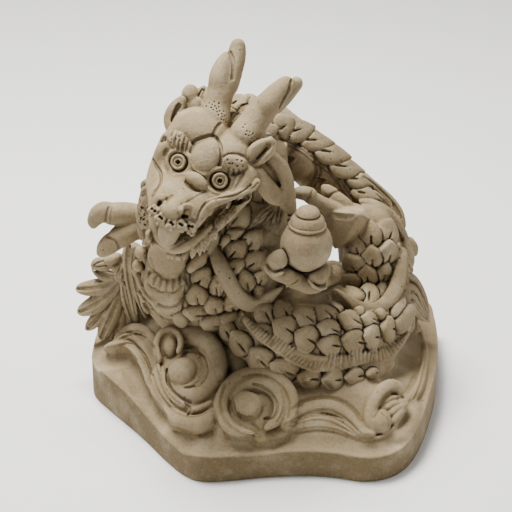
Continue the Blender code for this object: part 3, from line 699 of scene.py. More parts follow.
def belly_way(i):
    k = sorted(BELLY)
    v = np.array([BELLY[j] for j in k], float)
    x = np.clip(i, k[0], k[-1])
    return unit(np.array([np.interp(x, k, v[:, j]) for j in range(3)]))


def in_zone(uv, zone):
    x, y = uv
    c = False
    for (ax, ay), (bx, by) in zip(zone, zone[1:] + zone[:1]):
        if (ay > y) != (by > y) and x < ax + (y - ay) * (bx - ax) / (by - ay):
            c = not c
    return c


def to_drawing(p):
    d = np.asarray(p, float) - AIM
    k = EYE_AWAY / (EYE_AWAY - d @ TOWARD)
    return np.array([k * (d @ ACROSS), k * (d @ UPWARD)])


def across_skin(n, way2, view):
    """The tangent direction that shows as way2 (right, up) on the drawing, and its stretch."""
    v = way2[0] * ACROSS + way2[1] * UPWARD
    den = view @ n
    if abs(den) < 0.35:
        den = -0.35
    t = v - view * ((v @ n) / den)
    L = np.linalg.norm(t)
    return t / L, min(L, 1.45)


def place_petals(c, rows, thick=4.6, lift=14, **kw):
    """Scales set one by one: (u, v), length, width, way of the tip in degrees, slit, extras."""
    spots = []
    for row in rows:
        uv, L, W, ang = row[:4]
        slit = row[4] if len(row) > 4 else 1.0
        opt = dict(kw)
        if len(row) > 5:
            opt.update(row[5])
        P, N, hit = c.drape([uv])
        if not hit[0]:
            continue
        p, n = P[0], N[0]
        view = sight([uv])[0]
        a = math.radians(ang)
        tip, s1 = across_skin(n, (math.cos(a), math.sin(a)), view)
        side, s2 = across_skin(n, (-math.sin(a), math.cos(a)), view)
        spots.append((p, n, tip, L * s1, W * s2, slit, opt))
    for p, n, tip, L, W, slit, opt in spots:
        t = opt.pop("thick", thick)
        li = opt.pop("lift", lift)
        c.petal(p, n, tip, L, W, t, li, slit=slit, **opt)
    return [s[0] for s in spots]


def lattice_petals(c, a, b, taken, zones, pitch=14.0, wide=15.5, long=20.0, thick=4.6, belly=118, seed=3, crest=True):
    line = trunk_span(a, b)
    s = np.concatenate([[0], np.cumsum(np.linalg.norm(np.diff(line[:, :3], axis=0), axis=1))])
    rng = np.random.default_rng(seed)
    row = 0
    for q in np.arange(pitch * 0.5, s[-1], pitch * 0.92):
        cen = np.array([np.interp(q, s, line[:, j]) for j in range(4)])
        nxt = np.array([np.interp(min(q + 3, s[-1]), s, line[:, j]) for j in range(3)])
        prv = np.array([np.interp(max(q - 3, 0), s, line[:, j]) for j in range(3)])
        t = unit(nxt - prv)
        i = a + (b - a) * q / s[-1]
        bw = belly_way(i)
        bw = unit(bw - t * (bw @ t))
        back = -bw
        side = np.cross(t, back)
        r = cen[3] - PROUD
        n_half = max(2, int(round(math.radians(belly) * r / wide)))
        for k in range(-n_half, n_half + 1):
            phi = (k + (0.5 if row % 2 else 0.0)) * math.radians(belly) / n_half
            if abs(phi) > math.radians(belly) * 1.02:
                continue
            if crest and abs(phi) < math.radians(11):
                continue
            out = back * math.cos(phi) + side * math.sin(phi)
            p = cen[:3] + out * r
            if taken is not None and len(taken) and np.min(np.linalg.norm(np.array(taken) - p, axis=1)) < 11.0:
                continue
            if out @ TOWARD > -0.05:
                uv = to_drawing(p)
                if any(in_zone(uv, z) for z in zones):
                    continue
            if abs(float(c.sample(p[None])[0])) > 3.5:
                continue
            j = rng.uniform(-1, 1, 3)
            n = unit(out + 0.05 * j)
            c.petal(p, n, t + 0.12 * side * j[0], long * (1 + 0.05 * j[1]), wide * 1.12, thick, 13, slit=0.9)
        row += 1


def crest_along(c, a, b, height=9.0, skip=()):
    """A low combed fin along the back."""
    line = trunk_span(a, b)
    idx = np.linspace(a, b, len(line))
    tops, ways = [], []
    for k in range(len(line)):
        t = unit(line[min(k + 1, len(line) - 1), :3] - line[max(k - 1, 0), :3])
        bw = belly_way(idx[k])
        bw = unit(bw - t * (bw @ t))
        tops.append(line[k, :3] - bw * (line[k, 3] - PROUD + height * 0.35))
        ways.append(-bw)
    tops, ways = np.array(tops), np.array(ways)
    side = unit(np.cross(np.gradient(tops, axis=0), ways))
    rows = np.concatenate([tops, np.full((len(tops), 1), height * 0.75)], 1)
    c.strap(rows, side, 0.42, 2.0)
    s = np.concatenate([[0], np.cumsum(np.linalg.norm(np.diff(tops, axis=0), axis=1))])
    for q in np.arange(3, s[-1], 4.2):
        p = np.array([np.interp(q, s, tops[:, j]) for j in range(3)])
        w = unit(np.array([np.interp(q, s, ways[:, j]) for j in range(3)]))
        sd = unit(np.array([np.interp(q, s, side[:, j]) for j in range(3)]))
        for e in (-1, 1):
            o = p + sd * e * height * 0.33
            c.rod(np.array([list(o - w * height * 0.2) + [0.9], list(o + w * height * 0.85) + [1.2]]), 0, True)


def fur(c, pts, face, flat, k, grooves, groove_r=1.1, deep=0.5):
    """A tapering lock of hair with long grooves combed along it."""
    c.strap(pts, face, flat, k)
    pts = np.asarray(pts, float)
    face = np.broadcast_to(np.asarray(face, float), (len(pts), 3))
    tan = unit(np.gradient(pts[:, :3], axis=0))
    n = unit(face - tan * (face * tan).sum(1, keepdims=True))
    w = np.cross(tan, n)
    flat = np.broadcast_to(np.asarray(flat, float), (len(pts),))
    for g in grooves:
        off = math.sqrt(max(0.05, 1 - g * g))
        for sgn in (1, -1):
            line = pts[:, :3] + w * (g * pts[:, 3:4]) * 0.9 + n * sgn * (pts[:, 3] * flat * off + groove_r * (1 - 2 * deep))[:, None]
            m = slice(1, max(3, int(len(pts) * 0.9)))
            rr = np.full((len(line[m]), 1), groove_r)
            c.rod(np.concatenate([line[m], rr], 1), 0.3, True)


# ---- what is laid out one by one on the drawing
CHEST = [
    ((-13.6, 34), 25, 20, 45, 1.3), ((-29.8, 22.9), 22, 8.5, 84, 0.0), ((-17.4, 18.7), 19, 10, 25, 0.8), ((-25.5, 11.9), 17, 11.5, 50, 0.6), ((-2.1, 14.4), 23, 16, 55, 1.0),
    ((3.4, -17), 18, 13.5, 75), ((-0.3, -3.4), 23, 17, 42), ((-15.7, 5.5), 24, 17, 48), ((-15.7, -8.1), 16, 12.5, 40, 0.5),
    ((-8.8, -20.4), 21, 15, 105), ((2.3, -28.4), 10.5, 8.5, 20, 0),
    ((-39.6, 9.3), 28, 9.5, 68, 0.0), ((-49.7, -5.1), 24, 11, 62, 0.0), ((-45, -17.8), 21, 17, 52), ((-33.8, -25.2), 19, 11.5, 95),
    ((-49.7, -32.8), 21, 18, 100), ((-35.4, -41.1), 17, 17.5, 112), ((-21.2, -39.5), 16, 14, 110), ((-51.9, -48), 22, 13, 168),
    ((-37.8, -56.5), 22, 14.5, 165), ((-22.6, -52.7), 18, 14, 160), ((-9.9, -50.1), 14, 13, 120),
    ((-63.8, -52.7), 15, 12, 150, 0.0)]
COIL = [
    ((67, -44.2), 15, 8.5, 155, 0), ((8.1, -49.3), 19, 19, 125), ((23.4, -47.2), 18, 16, 128), ((40.8, -53.1), 22, 17, 155), ((59.1, -50.6), 23, 15, 150, 1.3, {"slit_to": 0.12}),
    ((95.2, -54.7), 17, 13, 170), ((61.2, -62.9), 23, 17, 165, 1.3, {"slit_to": -0.05}), ((79.5, -55.7), 24, 17, 165), ((24.5, -61.9), 24, 22, 150, 1.1), ((7.6, -63.8), 15, 13, 135),
    ((42.1, -70), 22, 22, 150), ((111.3, -62), 14, 21, 178), ((97.3, -68.8), 17.5, 21, 178), ((82, -72.7), 22.5, 20, 172), ((61.6, -75.6), 22, 17.5, 175),
    ((87.1, -47.6), 10, 7, 160, 0)]
UNDER = [
    ((97.8, -99.9), 12, 9, 190, 0.6), ((82.9, -102.4), 19, 14, 186), ((64.3, -105), 20, 16.5, 180), ((44.9, -103.3), 22, 17.5, 172),
    ((23.4, -95.6), 27, 20, 150, 1.2), ((3, -86.3), 23, 21.5, 128, 1.2), ((-13.3, -73.1), 23, 18, 118, 1.1), ((-23.8, -62.9), 18, 13, 108)]
THIGH = [
    ((112.4, 20.8), 17, 15, 88, 0.7), ((97.9, 18.4), 21.5, 18, 90), ((117.6, 6.4), 13, 7, 85, 0), ((86.9, 8.8), 20, 13, 95), ((111.6, 3.8), 22, 17.5, 90),
    ((98.4, 0.3), 20.5, 17.5, 92), ((117.7, -6), 12, 7, 80, 0), ((82.9, -5.1), 21, 17.5, 112), ((108.4, -12.7), 19, 12.8, 80),
    ((94.9, -15.1), 21, 17, 94), ((81.1, -21.2), 18, 16, 125), ((106.6, -26.7), 14, 8.8, 65, 0), ((96.9, -31.1), 19, 17, 90), ((81.4, -32.1), 17, 10, 152, 0)]
ARCHL = [
    ((11.9, 106.7), 15, 12, 20, 0), ((24.6, 111.3), 18.5, 19, 35, 0.7), ((37.8, 107.1), 26, 17.5, 12, 0.8), ((51.9, 97.1), 31, 14.5, -6, 0.8), ((65.5, 86.7), 33, 15.5, -12, 0.8),
    ((77.3, 74.5), 32, 15.5, -12, 0.8), ((88, 63.8), 25, 12.5, -10, 0.8), ((95.2, 51.6), 31, 12.0, -14, 0.5)]
NAPE = [
    ((-3.8, 131.3), 17, 9, -16, 0.6), ((-13.6, 130.5), 18, 13, 22, 0.7), ((-7.6, 121.5), 17, 14, 28, 0.9), ((-19.6, 118.1), 17, 15, 95, 0.7)]
ZONE_ARCH = [(5.1, 122.4), (37.4, 122.4), (98.6, 74.8), (115.6, 40.8), (81.6, 35.7), (37.4, 34.9), (5.1, 56.1)]
ZONE_CHEST = [(-60.4, 13.6), (-43.4, 26.3), (-26.3, 43.4), (5.1, 47.6), (28.9, 43.4), (28.9, -5.1), (5.1, -37.4), (5.1, -58.6), (-64.6, -62.9)]
ZONE_THROAT = [(-108.8, 43.4), (-43.4, 43.4), (-43.4, -5.1), (-56.1, -62.9), (-108.8, -62.9)]
ZONE_COIL = [(-26.3, -56.1), (5.1, -37.4), (37.4, -24.6), (75.6, -24.6), (75.6, -41.6), (122.4, -41.6), (132.6, -71.4), (115.6, -105.4), (37.4, -122.4), (-26.3, -88.4)]
ZONE_THIGH = [(67.1, 34.9), (130.9, 34.9), (132.6, -54.4), (67.1, -54.4)]


def make_chest():
    """Neck, throat and the rising loop of the body, with the arm that lies on it."""
    c = Clay((-114, -64, 44), (42, 64, 262), 0.80)
    t = trunk_span(0, 8.6)
    t[:, 3] -= PROUD
    c.rod(t, 6)
    # throat swells forward
    c.egg((-78, -14, 140), (21, 17, 40), None, 8)
    c.egg((-70, -14, 112), (24, 17, 22), None, 8)
    c.egg((-44, -12, 116), (38, 26, 34), None, 8)
    c.egg((-20, -12, 128), (26, 22, 30), None, 8)
    bare = c.d.copy()
    # belly plates on the throat
    plate = [((-75.6, -1.7), 17, 16, 4.5), ((-76.5, -27.2), 19, 15, 4.0), ((-73.1, -45), 18, 11, 3.4)]
    for uv, a, b, th in plate:
        P, N, h = c.drape([uv])
        if h[0]:
            n = N[0]
            sx = unit(np.cross([0, 0, 1.0], n))
            c.egg(P[0] - n * 1.0, (a, b, th), np.stack([sx, np.cross(n, sx), n]), 2.0)
    c.draw([(-90.1, -2.5), (-87.5, -11), (-79, -18.7), (-68.8, -20.4), (-61.2, -13.6), (-58.6, -4.2)], 1.5, 1.2, 0.5)
    c.draw([(-96, -24.6), (-92.6, -33.1), (-85, -39.9), (-75.6, -43.4), (-66.3, -40.8), (-59.5, -34)], 1.4, 1.1, 0.5)
    c.draw([(-91, -40.8), (-83.3, -49.3), (-73.1, -54.4), (-62, -51.9)], 1.2, 1.0, 0.5)
    for a, b in (((-90.1, -13.6), (-92.6, -21.2)), ((-85, -16.6), (-87.5, -24.6)), ((-79.9, -19.6), (-82.5, -28.1)), ((-74.8, -20.8), (-76.5, -29.3)), ((-69.7, -20.4), (-70.5, -28.9)), ((-64.6, -17.8), (-64.6, -25.5)), ((-60.4, -13.6), (-59.9, -21.2))):
        c.draw([a, b], (1.7, 0.9), 1.1, 0.2, per=4)
    c.draw([(-92.6, -22.9), (-89.2, -26.7), (-85, -28.1), (-81.6, -30.6), (-76.5, -30.9), (-72.2, -31.4), (-67.1, -29.8), (-62, -25.5)], 1.0, 1.2, 0.3)
    # rim lines of the belly band
    c.draw([(-91, 8.5), (-94.3, -5.1), (-96.6, -22.1), (-94.3, -34), (-87.5, -45), (-79, -53.5)], 1.3, 1.2, 0.5)
    c.draw([(-93.1, 7.6), (-97.3, -6.8), (-99.1, -23.8), (-96.9, -35.7), (-90.1, -46.8)], 1.9, 0.0, 0.8, cut=False)
    c.draw([(-53.5, 6), (-57.8, -6.8), (-58.6, -22.1), (-61.2, -37.4), (-62.9, -51)], 1.3, 1.2, 0.5)
    spots = place_petals(c, CHEST)
    lattice_petals(c, 0.5, 8.4, spots, [ZONE_CHEST, ZONE_THROAT, ZONE_ARCH], belly=128)
    # hair fan under the mane: combed lobes
    fan_root = ((22.9, 43.4), -12)
    for end, r0 in (((-3.4, 26.3), 4.2), ((3.4, 22.1), 4.2), ((11, 20.4), 4.2), ((17.8, 21.2), 4.0)):
        a, b = at((21.2, 44.2), -2), at(end, -16)
        m = (a + b) / 2 + np.array([0, -3, 3])
        pts = curve(np.array([list(a) + [3.2], list(m) + [r0 + 1.0], list(b) + [1.6]]), 8)
        fur(c, pts, (0, -.88, .47), 0.8, 1.0, (-0.35, 0.3), 0.9)
    P, N, h = c.drape([(12.8, 11.9)])
    if h[0]:
        c.egg(P[0] - N[0] * 3, (11, 6, 11), None, 3)
    # the arm ribbon laid on the chest
    uv = [(-36.4, 6), (-32.5, 0), (-28.1, -9.3), (-23.8, -18.7), (-19, -27.7), (-12.3, -35.7), (-3.8, -38.6), (3, -37.4), (9.3, -32.3), (14.9, -27.9), (19.6, -24.6)]
    girth = [3.0, 5.4, 6.8, 7.2, 7.2, 7.4, 6.8, 6.0, 4.8, 3.0, 1.6]
    line = curve(np.array([list(q) + [g] for q, g in zip(uv, girth)], float), 6)
    keep = c.d
    c.d = bare
    P, N, hit = c.drape(line[:, :2])
    c.d = keep
    # its hooked end runs off the chest and lies free under the hand
    turn = int(np.argmax(line[:, 1] * 0 + (line[:, 0] > line[:, 0].max() - 24)))
    for i in range(max(turn, 1), len(line)):
        if not hit[i] or P[i, 1] > P[i - 1, 1] + 0.6:
            P[i] = at(line[i, :2], P[i - 1, 1] + 0.1)
            N[i] = N[i - 1]
            hit[i] = True
    # smooth the normals so that the ribbon keeps an even face
    for _ in range(14):
        N[1:-1] = unit(N[:-2] + N[1:-1] * 2 + N[2:])
        P[1:-1] = (P[:-2] + P[1:-1] * 2 + P[2:]) / 4
    face = unit(N + 0.5 * TOWARD)
    rows = np.concatenate([P + N * 4.6, line[:, 2:3]], 1)[hit]
    c.strap(rows, face[hit], 0.62, 0.3, power=3.2)
    # kept for the painted light that makes the ribbon paler when the mesh is put in the scene
    c.rubbed = rows
    c.draw([(-31.4, 3), (-28.9, -0.8)], 1.0, 1.0, 0.3, per=3)
    # strands and lumps beside the throat
    for pts, r in (([(-106.2, 8.5), (-109.6, 0), (-108.8, -10.2), (-105.4, -17.8)], 2.6), ([(-102, -12.8), (-97.8, -22.1), (-92.6, -31.4), (-85.8, -39.9)], 2.4),
                   ([(-104.5, -21.2), (-100.3, -28.9), (-93.5, -37.4)], 2.0)):
        c.draw(pts, r, 0.3, 0.8, cut=False)
    for uv, a, b, n_ in (((-95.2, 19.6), 5.6, 7.6, 0), ((-97.8, 3.4), 5.4, 5.6, 0), ((-100.3, -7.6), 4.6, 5.4, 0), ((-101.1, 31.4), 5, 7, 0), ((-104.5, 42.5), 4, 6, 0)):
        P, N, h = c.drape([uv])
        if h[0]:
            c.petal(P[0], N[0], UPWARD, b * 2, a * 2, 4.2, 10, slit=0)
    crest_along(c, 3.6, 8.3)
    return c


def make_coil():
    """The lower coil across the front, round to the right and out to the tail."""
    c = Clay((-58, -78, 44), (140, 92, 140), 0.8)
    t = trunk_span(13.6, 23.2)
    t[:, 3] -= PROUD
    c.rod(t, 6)
    # the coil swells where it settles on the deck
    c.rod(path([((-25.5, -61.2), -26, 7), ((-13.6, -71.4), -41, 8), ((3, -84.1), -55, 9), ((23.4, -93.5), -57, 9.5), ((44.9, -101.1), -60, 9.5), ((64.3, -102.8), -60, 9.5),
                ((82.9, -100.3), -53, 9), ((97.8, -96.9), -46, 7.5), ((111.3, -89.2), -33, 6)]), 5)
    # fin groove: the comb sits between two rows of scales
    spots = place_petals(c, COIL + UNDER)
    fin = [((-7.6, -55.2), 3.4), ((-0.8, -62), 4.2), ((6.8, -68.4), 5.0), ((17, -74.8), 5.6), ((27.2, -80.8), 6.2), ((36.5, -85.8), 6.6), ((45.9, -89.7), 7.0), ((54.4, -90.5), 7.2), ((64.6, -90.4), 7.4),
           ((73.1, -89.7), 7.2), ((83.3, -87.2), 6.6), ((93.5, -85.3), 6.4), ((103.7, -84.6), 6.8), ((112.2, -82), 6.4), ((119.8, -74.8), 5.0), ((126.6, -66.3), 3.2)]
    line = curve(np.array([list(q) + [g] for q, g in fin], float), 6)
    P, N, hit = c.drape(line[:, :2])
    for _ in range(10):
        N[1:-1] = unit(N[:-2] + N[1:-1] * 2 + N[2:])
        P[1:-1] = (P[:-2] + P[1:-1] * 2 + P[2:]) / 4
    rows = np.concatenate([P + N * 2.0, line[:, 2:3]], 1)[hit]
    c.strap(rows, N[hit], 0.5, 0.6)
    # combed strokes across the fin, and a toothed lower edge
    L = np.concatenate([[0], np.cumsum(np.hypot(*np.diff(line[:, :2], axis=0).T))])
    rng = np.random.default_rng(5)
    for q in np.arange(2, L[-1] - 2, 3.3):
        u, v, g = (np.interp(q, L, line[:, j]) for j in range(3))
        du, dv = (np.interp(q + 1, L, line[:, j]) - np.interp(q - 1, L, line[:, j]) for j in range(2))
        m = math.hypot(du, dv)
        du, dv = du / m, dv / m
        lean = rng.uniform(0.1, 0.5)
        a = (u - dv * g * -0.75 - du * g * lean, v + du * g * -0.75 - dv * g * lean)
        b = (u + dv * g * -0.95, v - du * g * -0.95)
        if 0.33 < q / L[-1] < 0.52:
            b = (u, v)
        c.draw([a, ((a[0] + b[0]) / 2, (a[1] + b[1]) / 2), b], 0.95, 1.0, 0.2, per=3)
    lattice_petals(c, 14.2, 22.8, spots, [ZONE_COIL, ZONE_THIGH], belly=112)
    crest_along(c, 20.6, 23.0, 7)
    # strands between the coil and the tail end, right side
    place_petals(c, [((120.3, -43.8), 21, 10, 72, 0), ((125.4, -52.7), 26, 12.5, 58, 0), ((104.5, -49.7), 9, 8, 160, 0)], thick=5.4, lift=4, taper=0.1, point=0.3)
    # lowest scales of the thigh, lying over the coil
    place_petals(c, [((94.9, -16.1), 20, 17, 94), ((108.4, -15.3), 17, 12.8, 80), ((80.8, -22.9), 18, 16, 125), ((106.6, -28.1), 14, 9.5, 65, 0), ((96, -32.3), 19, 17, 90), ((82.5, -33.1), 17, 11, 152, 0), ((74, -28.9), 12, 9, 140, 0)], thick=4.8)
    # the bare saddle of clay under the jewel
    c.rod(path([((25.5, -39.9), -12, 10), ((34.9, -39.1), -15, 12.5), ((47.6, -38.2), -15, 12.5), ((66.3, -34.9), -10, 11)]), 4)
    P, N, h = c.drape([(45.9, -35.7)])
    if h[0]:
        c.egg(P[0] + np.array([0, 4, -3]), (30, 10, 9), None, 4)
    return c


def make_arch():
    """The high loop of the back and the hind leg that folds down its right side."""
    c = Clay((-40, -32, 78), (152, 104, 276), 0.82)
    t = trunk_span(7.0, 15.6)
    t[:, 3] -= PROUD * 0.8
    c.rod(t, 6)
    # the nape swells between the horns
    c.egg(at((-11, 121.5), 58), (17, 14, 15), None, 7)
    # belly swells: plates across the inside of the loop
    for uv, a, b, dp in (((17, 90.1), 9, 12, 5), ((34.9, 77.3), 17, 21, 8), ((60.4, 68), 11, 17, 5)):
        P, N, h = c.drape([uv])
        if h[0]:
            n = N[0]
            long = unit(0.15 * ACROSS + UPWARD - n * ((0.15 * ACROSS + UPWARD) @ n))
            c.egg(P[0] - n * 2.5, (a * 0.85, b * 0.9, dp), np.stack([np.cross(long, n), long, n]), 1.5)
    c.draw([(45, 89.2), (50.1, 81.6), (51, 71.4), (46.8, 61.2), (39.9, 56.9)], 1.2, 1.1, 0.4)
    c.draw([(48.4, 87.5), (53.5, 79.9), (54.4, 69.7), (50.1, 59.5)], 1.1, 1.0, 0.4)
    c.draw([(18.7, 96.9), (23.8, 88.4), (22.1, 78.2)], 1.1, 1.1, 0.4)
    for uv in ((27.7, 81.6), (27.7, 68.5), (54.4, 62.9)):
        P, N, h = c.drape([uv])
        if h[0]:
            for a, o in ((20, 0), (-15, 2.5), (45, -2.5)):
                w = math.cos(math.radians(a)) * ACROSS + math.sin(math.radians(a)) * UPWARD
                q = P[0] + UPWARD * o
                c.nick(q, -w, N[0], 5.5, 1.6, 3.0)
    # double line, then the plain band
    c.draw([(16.1, 97.8), (24.6, 95.5), (34, 90.4), (43.9, 83.6), (53.5, 76.8), (62.6, 70.1), (68.3, 63.8), (72.2, 56.1), (78.2, 48.4), (81.3, 42.5)], 0.9, 1.0, 0.4)
    c.draw([(17, 99.8), (26.3, 97.8), (35.7, 92.6), (45.5, 85.8), (55.2, 79), (64.6, 72.7), (71.4, 66.3), (75.6, 58.6), (80.8, 51), (84.1, 45)], 0.8, 1.0, 0.4)
    spots = place_petals(c, ARCHL[::-1], thick=3.6, lift=1, taper=0.35, point=0.5, power=2.0, sink=0.0, edge=0.6)
    spots += place_petals(c, NAPE, thick=3.8, lift=6, taper=0.3, point=0.4)
    lattice_petals(c, 9.4, 14.6, spots, [ZONE_ARCH, ZONE_THIGH], belly=96, seed=9)
    crest_along(c, 9.9, 13.2, 5)
    # long leaves that flow over the shoulder of the loop and down behind the thigh
    for pts_, gr in (([((90.1, 68), 61, 2.6), ((97.8, 62), 63, 4.0), ((106.2, 54), 65, 4.9), ((114.8, 45), 65, 5.6), ((120.7, 35.7), 62, 5.6), ((123.7, 26.3), 58, 4.4)], (0.15,)),
                     ([((89.2, 46.3), 45, 2.0), ((97.8, 44.6), 45, 4.0), ((106.2, 40.4), 46, 5.0), ((114.8, 33.1), 47, 5.4), ((121.2, 23.8), 49, 5.4), ((126.2, 13.6), 49, 5.0), ((130, 3.4), 46, 4.6), ((130.9, -4.2), 43, 4.4), ((131.3, -9.3), 41, 2.4)], ())):
        fur(c, path(pts_), unit(TOWARD + 0.5 * ACROSS + 0.3 * UPWARD), 0.72, 0.4, gr, 1.1, 0.6)
    c.draw([(96.9, 41.6), (102.8, 36.5), (111.1, 31), (117.3, 25.1), (121.5, 18.3), (124.1, 13.6)], (1.0, 1.8), 1.2, 0.2)
    c.draw([(97.8, 58.6), (103.7, 52.3), (108.8, 46.8), (113, 42.5), (117.3, 36.1)], 1.2, 1.2, 0.2)
    c.draw([(116.5, 43.8), (119, 39.5), (121.1, 34.9)], 1.3, 1.1, 0.2)
    c.rod(path([((130.9, 13.6), 52, 3.0), ((133.9, 7.6), 51, 3.8), ((134.3, 2.5), 50, 3.2)]), 0.8)
    c.rod(path([((126.6, 8.5), 50, 3.6), ((125.8, 0), 44, 3.6), ((125.8, -8.5), 36, 3.0)]), 1.5)

    # ---- hind leg: thigh, knee ribbon, shin and claws
    c.egg((95, 31, 126), (24, 23, 35), None, 5)
    c.egg((96, 26, 108), (24, 20, 22), None, 5)
    knee = place_petals(c, THIGH, thick=4.8)
    th = Clay.__new__(Clay)
    uv = [(124.5, 3.4), (124.3, -3.4), (122.8, -14.4), (119.8, -25.5), (114.3, -35.3), (107.1, -42), (98.6, -45.6), (88.4, -44.5), (78.2, -39.9), (68.8, -34.5), (66.7, -33.1)]
    girth = [4.0, 5.4, 6.3, 6.6, 6.2, 5.6, 5.6, 6.0, 6.2, 6.0, 5.4]
    dep = [20, 16, 9, 1, -8, -15, -20, -25, -28, -30, -30.5]
    line = curve(np.array([list(at(q, d)) + [g] for q, g, d in zip(uv, girth, dep)], float), 6)
    c.strap(line, (0.22, -0.82, 0.52), 0.62, 0.3, power=3.0)
    # shin: a bright top plane, a keen lower edge
    shin = [at((59.5, 38.2), 20), at((87.1, 35.7), 8), at((75.6, 13.6), 12), at((66.3, 5.1), 22), at((53.5, 45), 36), at((75.6, 47.6), 44), at((95.2, 42.5), 42),
            at((105.4, 27.2), 34), at((93.5, 13.6), 20), at((56.1, 27.2), 34), at((68, 10.2), 44), at((51, 37.4), 32)]
    c.facets(shin, 1.6, 1.6)
    c.egg(at((100.3, 27.2), 36), (15, 14, 15), None, 6)
    # the hollow of the shin's top face
    c.draw([(62.9, 36.5), (71.4, 33.6), (79.9, 33.6), (85.8, 35.3)], 5.0, 0.16, 1.0)
    # toes on the arch
    for pts in ([((68.8, 38.2), 27, 7.2), ((59.5, 42.5), 25, 6.0), ((51, 47.2), 24, 5.6), ((45, 51), 23, 5.6)],
                [((76.5, 40.8), 34, 7.0), ((71.4, 45.9), 34, 6.4), ((65.5, 50.1), 35, 6.2)]):
        c.rod(path(pts), 1.4)
    nails = (([((45.9, 51.9), 23, 6.2), ((39.9, 53.5), 22, 6.0), ((34.9, 53.5), 21, 4.6), ((31.4, 52.3), 20, 2.6)], [(48.4, 56.1), (46.8, 51.9), (43.4, 48.4)]),
             ([((66.3, 51), 36, 6.4), ((61.2, 55.2), 37, 5.4), ((58.6, 57.8), 38, 3.4)], [(71, 55.7), (66, 53.5), (61.7, 49.3)]))
    for pts, ring in nails:
        c.rod(path(pts), 0.4)
        c.draw(ring, 0.9, 1.1, 0.2)
    return c


# ------------------------------------------------------------------ head
HEAD_AT = np.array([-51.0, -38.0, 239.0])
HF = unit([-.418, -.868, -.269])
HR = unit(np.array([.899, -.353, -.261]) - HF * (np.array([.899, -.353, -.261]) @ HF))
HU = np.cross(HF, HR)
HEAD = np.stack([HR, HU, HF])


def hp(r, u, f):
    """A point of the head: right, up and forward of its middle."""
    return HEAD_AT + r * HR + u * HU + f * HF


def hv(r, u, f):
    return unit(r * HR + u * HU + f * HF)


def head_at(uv, f):
    """The point of the line of sight through uv that is f forward of the head's middle."""
    d = sight(uv)[0]
    return EYE + d * (f + (HEAD_AT - EYE) @ HF) / (d @ HF)


def hpath(points, per=6):
    """Smooth path through ((u, v), forward, girth) or (r, u, f, girth) stations on the head."""
    rows = []
    for p in points:
        if isinstance(p[0], tuple):
            rows.append(list(head_at(p[0], p[1])) + list(p[2:]))
        else:
            rows.append(list(hp(*p[:3])) + list(p[3:]))
    return curve(np.array(rows, float), per)


def ring(centre, axis, radius, girth, n=28, squash=1.0, up=None):
    a = unit(axis)
    up = HU if up is None else up
    e1 = unit(np.cross(up, a))
    e2 = np.cross(a, e1)
    t = np.linspace(0, 2 * math.pi, n + 1)
    return np.stack([*(np.asarray(centre) + np.outer(np.cos(t), e1) * radius + np.outer(np.sin(t), e2) * radius * squash).T,
                     np.full(n + 1, girth)], 1)


